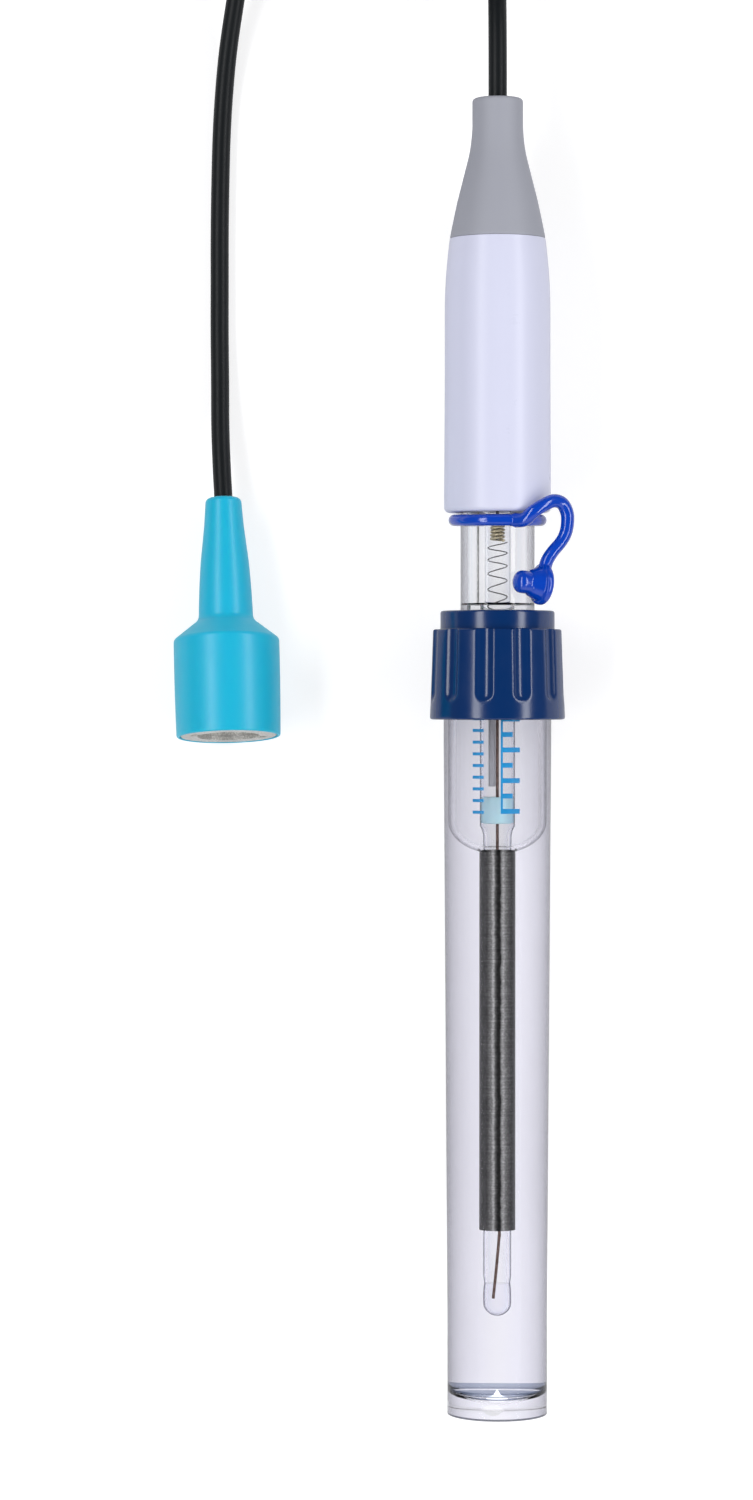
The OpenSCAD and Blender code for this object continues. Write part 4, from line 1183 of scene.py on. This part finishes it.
@dataclass
class Head:
    """Moulded head and its grey strain relief."""

    mid_r: float = 8.55
    bottom_r: float = 8.65
    top_r: float = 7.75
    edge: float = 0.8
    round_h: float = 12.0
    draft_h: float = 22.0
    socket_r: float = 6.02
    socket_h: float = 19.02
    wall: float = 1.6
    relief_r: float = 7.7
    neck_r: float = LAYOUT.relief_neck_r
    neck_h: float = 8.2
    relief_edge: float = 0.6
    lip: float = 0.3
    cable_r: float = 1.6
    spigot_r: float = 4.98
    spigot_h: float = 3.0

    def shell(self) -> Skin:
        """Head: a rounded foot, a faint draft, an upper end that draws in by t squared, and the socket inside."""
        z, top = LAYOUT.head, LAYOUT.relief
        t = np.linspace(0, 1, 25)
        crown = np.stack([self.mid_r - (self.mid_r - self.top_r) * t**2, top - self.round_h + self.round_h * t], -1)
        outer = joined(arc((self.bottom_r - self.edge, z + self.edge), self.edge, -90, 0),
                       line((self.bottom_r, z + self.edge + 0.4), (self.mid_r, z + self.draft_h), 8), crown)
        room_r, low, high = self.top_r - self.wall, z + self.socket_h, top - self.spigot_h
        inner = np.array([[self.spigot_r, top], [self.spigot_r, high], [room_r, high], [room_r, low],
                          [self.socket_r, low], [self.socket_r, z]])
        return Skin.turned(joined(outer, inner, outer[:1]), 128)

    def relief(self) -> Skin:
        """Strain relief: it carries on the head's curve, draws in to a neck and ends in a rounded mouth."""
        z, top = LAYOUT.relief, LAYOUT.top
        neck, foot = top - self.neck_h, z - self.spigot_h
        r, n, edge, lip = self.relief_r, self.neck_r, self.relief_edge, self.lip
        body = joined(
            [[r - 0.25, z], [r - 0.06, z + 0.08]],
            bend((r, z + 0.3), (r - 0.35, z + 2.2), (r - 1.2, z + 6.1), 14),
            bend((n + 0.65, neck - 1.5), (n + 0.15, neck + 0.5), (n, neck + 3.6), 14),
            arc((n - edge, top - edge), edge, 0, 90, 8),
            arc((self.cable_r + lip, top - lip), lip, 90, 180, 5),
            [[self.cable_r, foot], [self.spigot_r, foot], [self.spigot_r, z], [r - 0.25, z]],
        )
        return Skin.turned(body, 112)

    def build(self) -> None:
        """Makes both pieces and dresses the clamp."""
        dress(self.shell().piece("head_housing"), "head_plastic",
              Moulding("head_lavender_white", (219, 221, 243), roughness=0.3, grain=2200, depth=0.006, mottle=0.12,
                       shine=0.3), replaces=("head_shell",))
        dress(self.relief().piece("relief_boot"), "relief_plastic",
              Moulding("relief_grey", (164, 166, 177), roughness=0.6, grain=3000, depth=0.02, mottle=0.25),
              replaces=("strain_relief",))
        repaint(Metal("clamp_nickel", (190, 190, 188), roughness=0.3), "cable_clamp")


@dataclass
class Stopper:
    """Ring, strap and plug of the filling hole, moulded as one soft piece.

    Attributes:
        ring_r, ring_t, ring_z, ring_dip: the ring's radius, thickness, height and slope towards the back.
        strap_t, strap: the strap's thickness and its route, from the ring, with heights from the head's foot.
        flange_r, flange_t, nub_r, nub_h: the plug's flange and the nub that enters the hole.
        plug_at, aim: where the plug's outer end lies and which way its nub points.
        weld_size: grain of the mesh that joins the three.
    """

    ring_r: float = 7.0
    ring_t: float = 1.9
    ring_z: float = 144.95
    ring_dip: float = 0.03
    strap_t: float = 2.2
    flange_r: float = 3.35
    flange_t: float = 1.2
    nub_r: float = 1.85
    nub_h: float = 5.6
    weld_size: float = 0.14
    plug_at: Point = (7.4, -6.2, 134.4)
    aim: Point = (-0.87, -0.45, 0.1)
    strap: tuple[Point, ...] = (
        (2.6, -6.5, -1.5), (4.1, -7.6, -1.4), (5.6, -8.3, -0.1), (7.2, -7.9, 0.9), (8.8, -7.0, 1.6),
        (10.2, -6.2, 1.2), (11.0, -5.8, -0.3), (11.05, -5.8, -2.1), (10.7, -5.9, -3.7), (9.9, -6.1, -5.1),
        (8.7, -6.4, -6.5), (7.8, -6.5, -7.9), (7.4, -6.4, -9.2), (7.3, -6.3, -10.4),
    )

    def plug(self) -> Skin:
        """Plug: a flange, a stepped cone and a blunt nub, turned from its own axis to its aim."""
        r, t, n, h = self.flange_r, self.flange_t, self.nub_r, self.nub_h
        profile = joined(
            [[0, 0.2], [r * 0.6, 0.0]],
            arc((r - 0.4, 0.4), 0.4, -90, 0, 6),
            bend((r, t - 0.4), (r, t), (r - 0.5, t), 5),
            bend((r - 0.6, t + 0.1), (n + 0.75, t + 0.5), (n + 0.3, t + 1.5), 8),
            bend((n + 0.2, t + 1.7), (n - 0.1, t + 1.8), (n, t + 2.3), 5),
            oval((0, h - 1.3), (n, 1.3), 0, 90, 12),
        )
        z = np.asarray(self.aim) / np.linalg.norm(self.aim)
        x = np.cross([0, 0, 1.0], z)
        x /= np.linalg.norm(x)
        turn = np.stack([x, np.cross(z, x), z], -1)
        return Skin.turned(profile, 64).turned_by(turn, self.plug_at)

    def strap_line(self) -> Skin:
        """Strap: a round cord along its route, a little wider at the ring and thinner on its way down to the plug."""
        path = spline(np.asarray(self.strap) + np.array([0, 0, LAYOUT.head]), 0.25)
        s = np.linspace(0, 1, len(path))
        radius = self.strap_t / 2 * (1 + 0.12 * np.exp(-s / 0.06) - 0.08 * np.exp(-(((s - 0.75) / 0.15) ** 2)))
        return Skin.of_grid(carry(path, radius, 24))

    def build(self) -> None:
        """Joins the three forms in one skin, whose corners are filled as in a moulding."""
        around = revolve(arc((self.ring_r, self.ring_z), self.ring_t / 2, 0, 360, 24)[:-1], 128)
        around[..., 2] += self.ring_dip * around[..., 1]
        ring = Skin.of_grid(around, loop_rows=True)
        thing = (ring + self.strap_line() + self.plug()).piece("stopper_moulding")
        weld = thing.modifiers.new("weld", "REMESH")
        weld.mode, weld.voxel_size, weld.use_smooth_shade = "VOXEL", self.weld_size * MM, True
        soften = thing.modifiers.new("soften", "SMOOTH")
        soften.factor, soften.iterations = 0.5, 5
        baked = bpy.data.meshes.new_from_object(thing.evaluated_get(bpy.context.evaluated_depsgraph_get()))
        thing.modifiers.clear()
        thing.data = baked
        blue = Moulding("stopper_silicone_blue", (0, 68, 194), roughness=0.14, grain=1600, depth=0.01, mottle=0.6,
                        coat=0.5, glow=0.05)
        dress(thing, "stopper_silicone", blue, body=Body.STOPPER, replaces=("refill_stopper",))


@dataclass
class Cap:
    """Screw cap with grip flutes, its soft seal and its washer."""

    rim_r: float = LAYOUT.cap_rim_r
    skirt_r: float = 10.45
    skirt_h: float = 14.6
    collar_r: float = 9.25
    collar_h: float = 3.0
    bore_r: float = 9.025
    bore_h: float = 13.6
    hole_r: float = 6.9
    flutes: int = 11
    flute_w: float = 2.6
    flute_depth: float = 0.55
    flute_foot: float = 3.1
    phase: float = 19.9
    edge: float = 0.4
    fillet: float = 0.2
    flute_soft: float = 0.25

    def shell(self) -> Skin:
        """Cap: a turned outline, cut by flutes.

        A flute is a ball of radius R dragged up the skirt. At the arc length x from its middle and the height h below
        its ball's centre (0 above it) it is d = sqrt(R^2 - x^2 - h^2) - (R - depth) deep. With a softness e its edge
        rolls over as (d + sqrt(d^2 + e^2)) / 2.
        """
        z, top = LAYOUT.cap, LAYOUT.cap + self.skirt_h
        crown, edge = top + self.collar_h, self.edge
        ball = ((self.flute_w / 2) ** 2 + self.flute_depth**2) / (2 * self.flute_depth)
        foot = z + self.flute_foot + self.flute_w / 2
        rim, knee, bend_at = (self.rim_r, z + edge), (self.rim_r - 0.09, z + 2.4), (self.rim_r - 0.2, z + 5.2)
        profile = joined(
            [[self.bore_r, z], [self.rim_r - 1.2, z]],
            arc((self.rim_r - edge, z + edge), edge, -90, 0, 6),
            line(rim, knee, 3)[1:-1],
            line(knee, bend_at, 24)[:-1],
            line(bend_at, (self.skirt_r, top - edge), 12),
            bend((self.skirt_r, top - edge), (self.skirt_r, top), (self.skirt_r - edge, top), 6)[1:],
            line((self.skirt_r - edge, top), (self.collar_r + self.fillet, top), 5)[1:],
            bend((self.collar_r + self.fillet, top), (self.collar_r, top), (self.collar_r, top + self.fillet), 4)[1:],
            arc((self.collar_r - edge, crown - edge), edge, 0, 90, 6),
            arc((self.hole_r + self.fillet, crown - self.fillet), self.fillet, 90, 180, 4),
            [[self.hole_r, z + self.bore_h], [self.bore_r, z + self.bore_h], [self.bore_r, z]],
        )
        grid = revolve(profile, self.flutes * 56)
        r, h = profile[:, :1], profile[:, 1:]
        a = np.degrees(np.arctan2(grid[..., 1], grid[..., 0])) + 90 - self.phase
        step = 360 / self.flutes
        x = np.radians((a + step / 2) % step - step / 2) * np.maximum(r, self.collar_r)
        below = np.maximum(foot - h, 0)
        deep = np.sqrt(np.maximum(ball**2 - x**2 - below**2, 0)) - (ball - self.flute_depth)
        deep = (deep + np.sqrt(deep**2 + self.flute_soft**2)) / 2
        slope = (self.rim_r - self.skirt_r) / self.skirt_h
        floor = self.rim_r - (h - z) * slope - deep
        fluted = (h > z + 2) & (h <= top) & (r > self.collar_r)
        cut = np.where(fluted, np.minimum(r, np.maximum(floor, self.collar_r + self.fillet)), r)
        grid[..., :2] *= (cut / r)[..., None]
        return Skin.of_grid(grid)

    def build(self) -> None:
        """Makes the cap and dresses what it holds."""
        dress(self.shell().piece("cap_moulding", sharp=30), "cap_plastic",
              Moulding("cap_navy", (0, 46, 102), roughness=0.2, grain=2600, depth=0.004, mottle=0.3, shine=0.6),
              body=Body.CAP, replaces=("screw_cap",))
        repaint(Moulding("seal_milky", (236, 240, 243), roughness=0.35, glow=0.3), "shaft_seal")
        repaint(Moulding("washer_white", (236, 236, 234), roughness=0.5), "seal_washer")


@dataclass
class Plug:
    """Boot of the bayonet plug and the finishes of the metal pieces in it."""

    boot_r: float = LAYOUT.boot_r
    mouth_r: float = 8.45
    mouth_edge: float = 0.35
    body_h: float = LAYOUT.boot_body
    round_r: float = LAYOUT.boot_round
    slope: float = 52.0
    tail_from: float = 19.2
    length: float = 39.3
    tail_r: float = 4.45
    end_r: float = 2.95
    sleeve_r: float = 7.27
    sleeve_h: float = 16.3
    lip_r: float = 7.97
    lip_h: float = 1.12
    bore_r: float = 1.65
    bore_from: float = 26.3
    room_r: float = 2.8

    def boot(self) -> Skin:
        """Boot: a slightly barrelled body, a sloped shoulder, a long tapered tail and a bored end."""
        r, tail, foot, end = self.boot_r, self.tail_r, self.tail_from, self.length
        edge = self.mouth_edge
        profile = joined(
            [[self.lip_r, self.lip_h], [self.lip_r, 0.1], [self.lip_r + 0.06, 0]],
            arc((self.mouth_r - edge, edge), edge, -90, 0, 7),
            bend((self.mouth_r + 0.02, 1.2), (r + 0.04, self.body_h / 2), (r, self.body_h - 0.2), 14),
            arc((r - self.round_r, self.body_h), self.round_r, 0, self.slope, 8),
            bend((tail + 0.6, foot - 0.47), (tail, foot), (tail - 0.02, foot + 0.7), 8),
            bend((tail - 0.04, foot + 1), (tail - 0.15, foot + 5), (tail - 0.5, foot + 9.3), 8),
            line((tail - 0.53, foot + 9.6), (self.end_r + 0.28, end - 4.5), 5),
            arc((self.end_r - 0.8, end - 0.8), 0.8, 0, 90, 8),
            [[self.bore_r, end], [self.bore_r, self.bore_from], [self.room_r, self.bore_from],
             [self.room_r, self.sleeve_h], [self.sleeve_r, self.sleeve_h], [self.sleeve_r, self.lip_h],
             [self.lip_r, self.lip_h]],
        )
        return Skin.turned(profile, 128)

    def build(self) -> None:
        """Makes the boot and dresses what it holds."""
        dress(self.boot().piece("boot_moulding", PLUG_SEAT), "boot_rubber",
              Moulding("boot_sky_blue", (6, 187, 222), PLUG_SEAT, roughness=0.36, grain=1400, depth=0.02, mottle=0.25,
                       glow=0.4, bloom=0.6), body=Body.COUPLING, replaces=("plug_boot",))
        nickel = Metal("plug_nickel", (250, 249, 245), PLUG_SEAT, roughness=0.32, rings=1800, depth=0.006,
                       mirror=0.55)
        repaint(nickel, *METAL_NODES)
        repaint(Metal("pin_gold", (214, 176, 104), PLUG_SEAT, roughness=0.2, rings=900), "centre_pin")
        repaint(Moulding("insulator_white", (240, 240, 238), PLUG_SEAT, roughness=0.45), "plug_insulator")
        repaint(Moulding("gasket_red", (188, 64, 50), PLUG_SEAT, roughness=0.6), "plug_gasket")


@dataclass
class Print:
    """Plain cyan scale on the shaft's glass: a line with ticks on one side and a row of short bars on the other.

    Attributes:
        radius: of its underside, just off the glass.
        low, high: heights between which it lies.
        rule: first and last angle of the line from the front, in degrees.
        tick_ends: last angles of the long and the short ticks.
        ticks, bars: how many there are of each.
        bar: first and last angle of the bars.
        tick_h, bar_h: their heights.
        thickness: of the ink.
    """

    radius: float = 6.015
    low: float = 97.6
    high: float = 113.6
    rule: tuple[float, float] = (3.0, 6.0)
    tick_ends: tuple[float, float] = (31.0, 20.0)
    ticks: int = 7
    tick_h: float = 0.8
    bars: int = 9
    bar: tuple[float, float] = (-38.0, -21.0)
    bar_h: float = 0.5
    thickness: float = 0.02

    def patch(self, start: float, end: float, low: float, high: float) -> Skin:
        """A thin curved plate (r cos a, r sin a, z) between two angles from the front. Its last end stays open."""
        r0, r1 = self.radius, self.radius + self.thickness
        grid = revolve(np.array([[r0, low], [r1, low], [r1, high], [r0, high]]), 8, start - 90, end - start)
        first = np.repeat(grid[:, :1].mean(0, keepdims=True), len(grid), 0)
        return Skin.of_grid(np.concatenate([first, grid], 1), loop_rows=True, loop_cols=False)

    def build(self) -> None:
        """Makes the scale as one piece."""
        skin = self.patch(*self.rule, self.low, self.high)
        for k, height in enumerate(np.linspace(self.low, self.high - 1.2, self.ticks)):
            skin += self.patch(self.rule[1], self.tick_ends[k % 2], height, height + self.tick_h)
        for height in np.linspace(self.low, self.high - 1.0, self.bars):
            skin += self.patch(*self.bar, height, height + self.bar_h)
        ink = Moulding("print_cyan", (0, 150, 214), roughness=0.5, grain=6000, depth=0.002, mottle=0.3)
        dress(skin.piece("glass_scale"), "boot_rubber", ink)


def main() -> None:
    """Sets the studio and builds the cable, then the pieces from the vial up to the plug."""
    Studio().build()
    Cable().build()
    for part in (Vial(), Shaft(), Inner(), Head(), Stopper(), Cap(), Plug(), Print()):
        part.build()


if __name__ == "__main__":
    logging.basicConfig(level=logging.INFO, format="%(message)s")
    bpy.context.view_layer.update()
    main()
    bpy.context.view_layer.update()
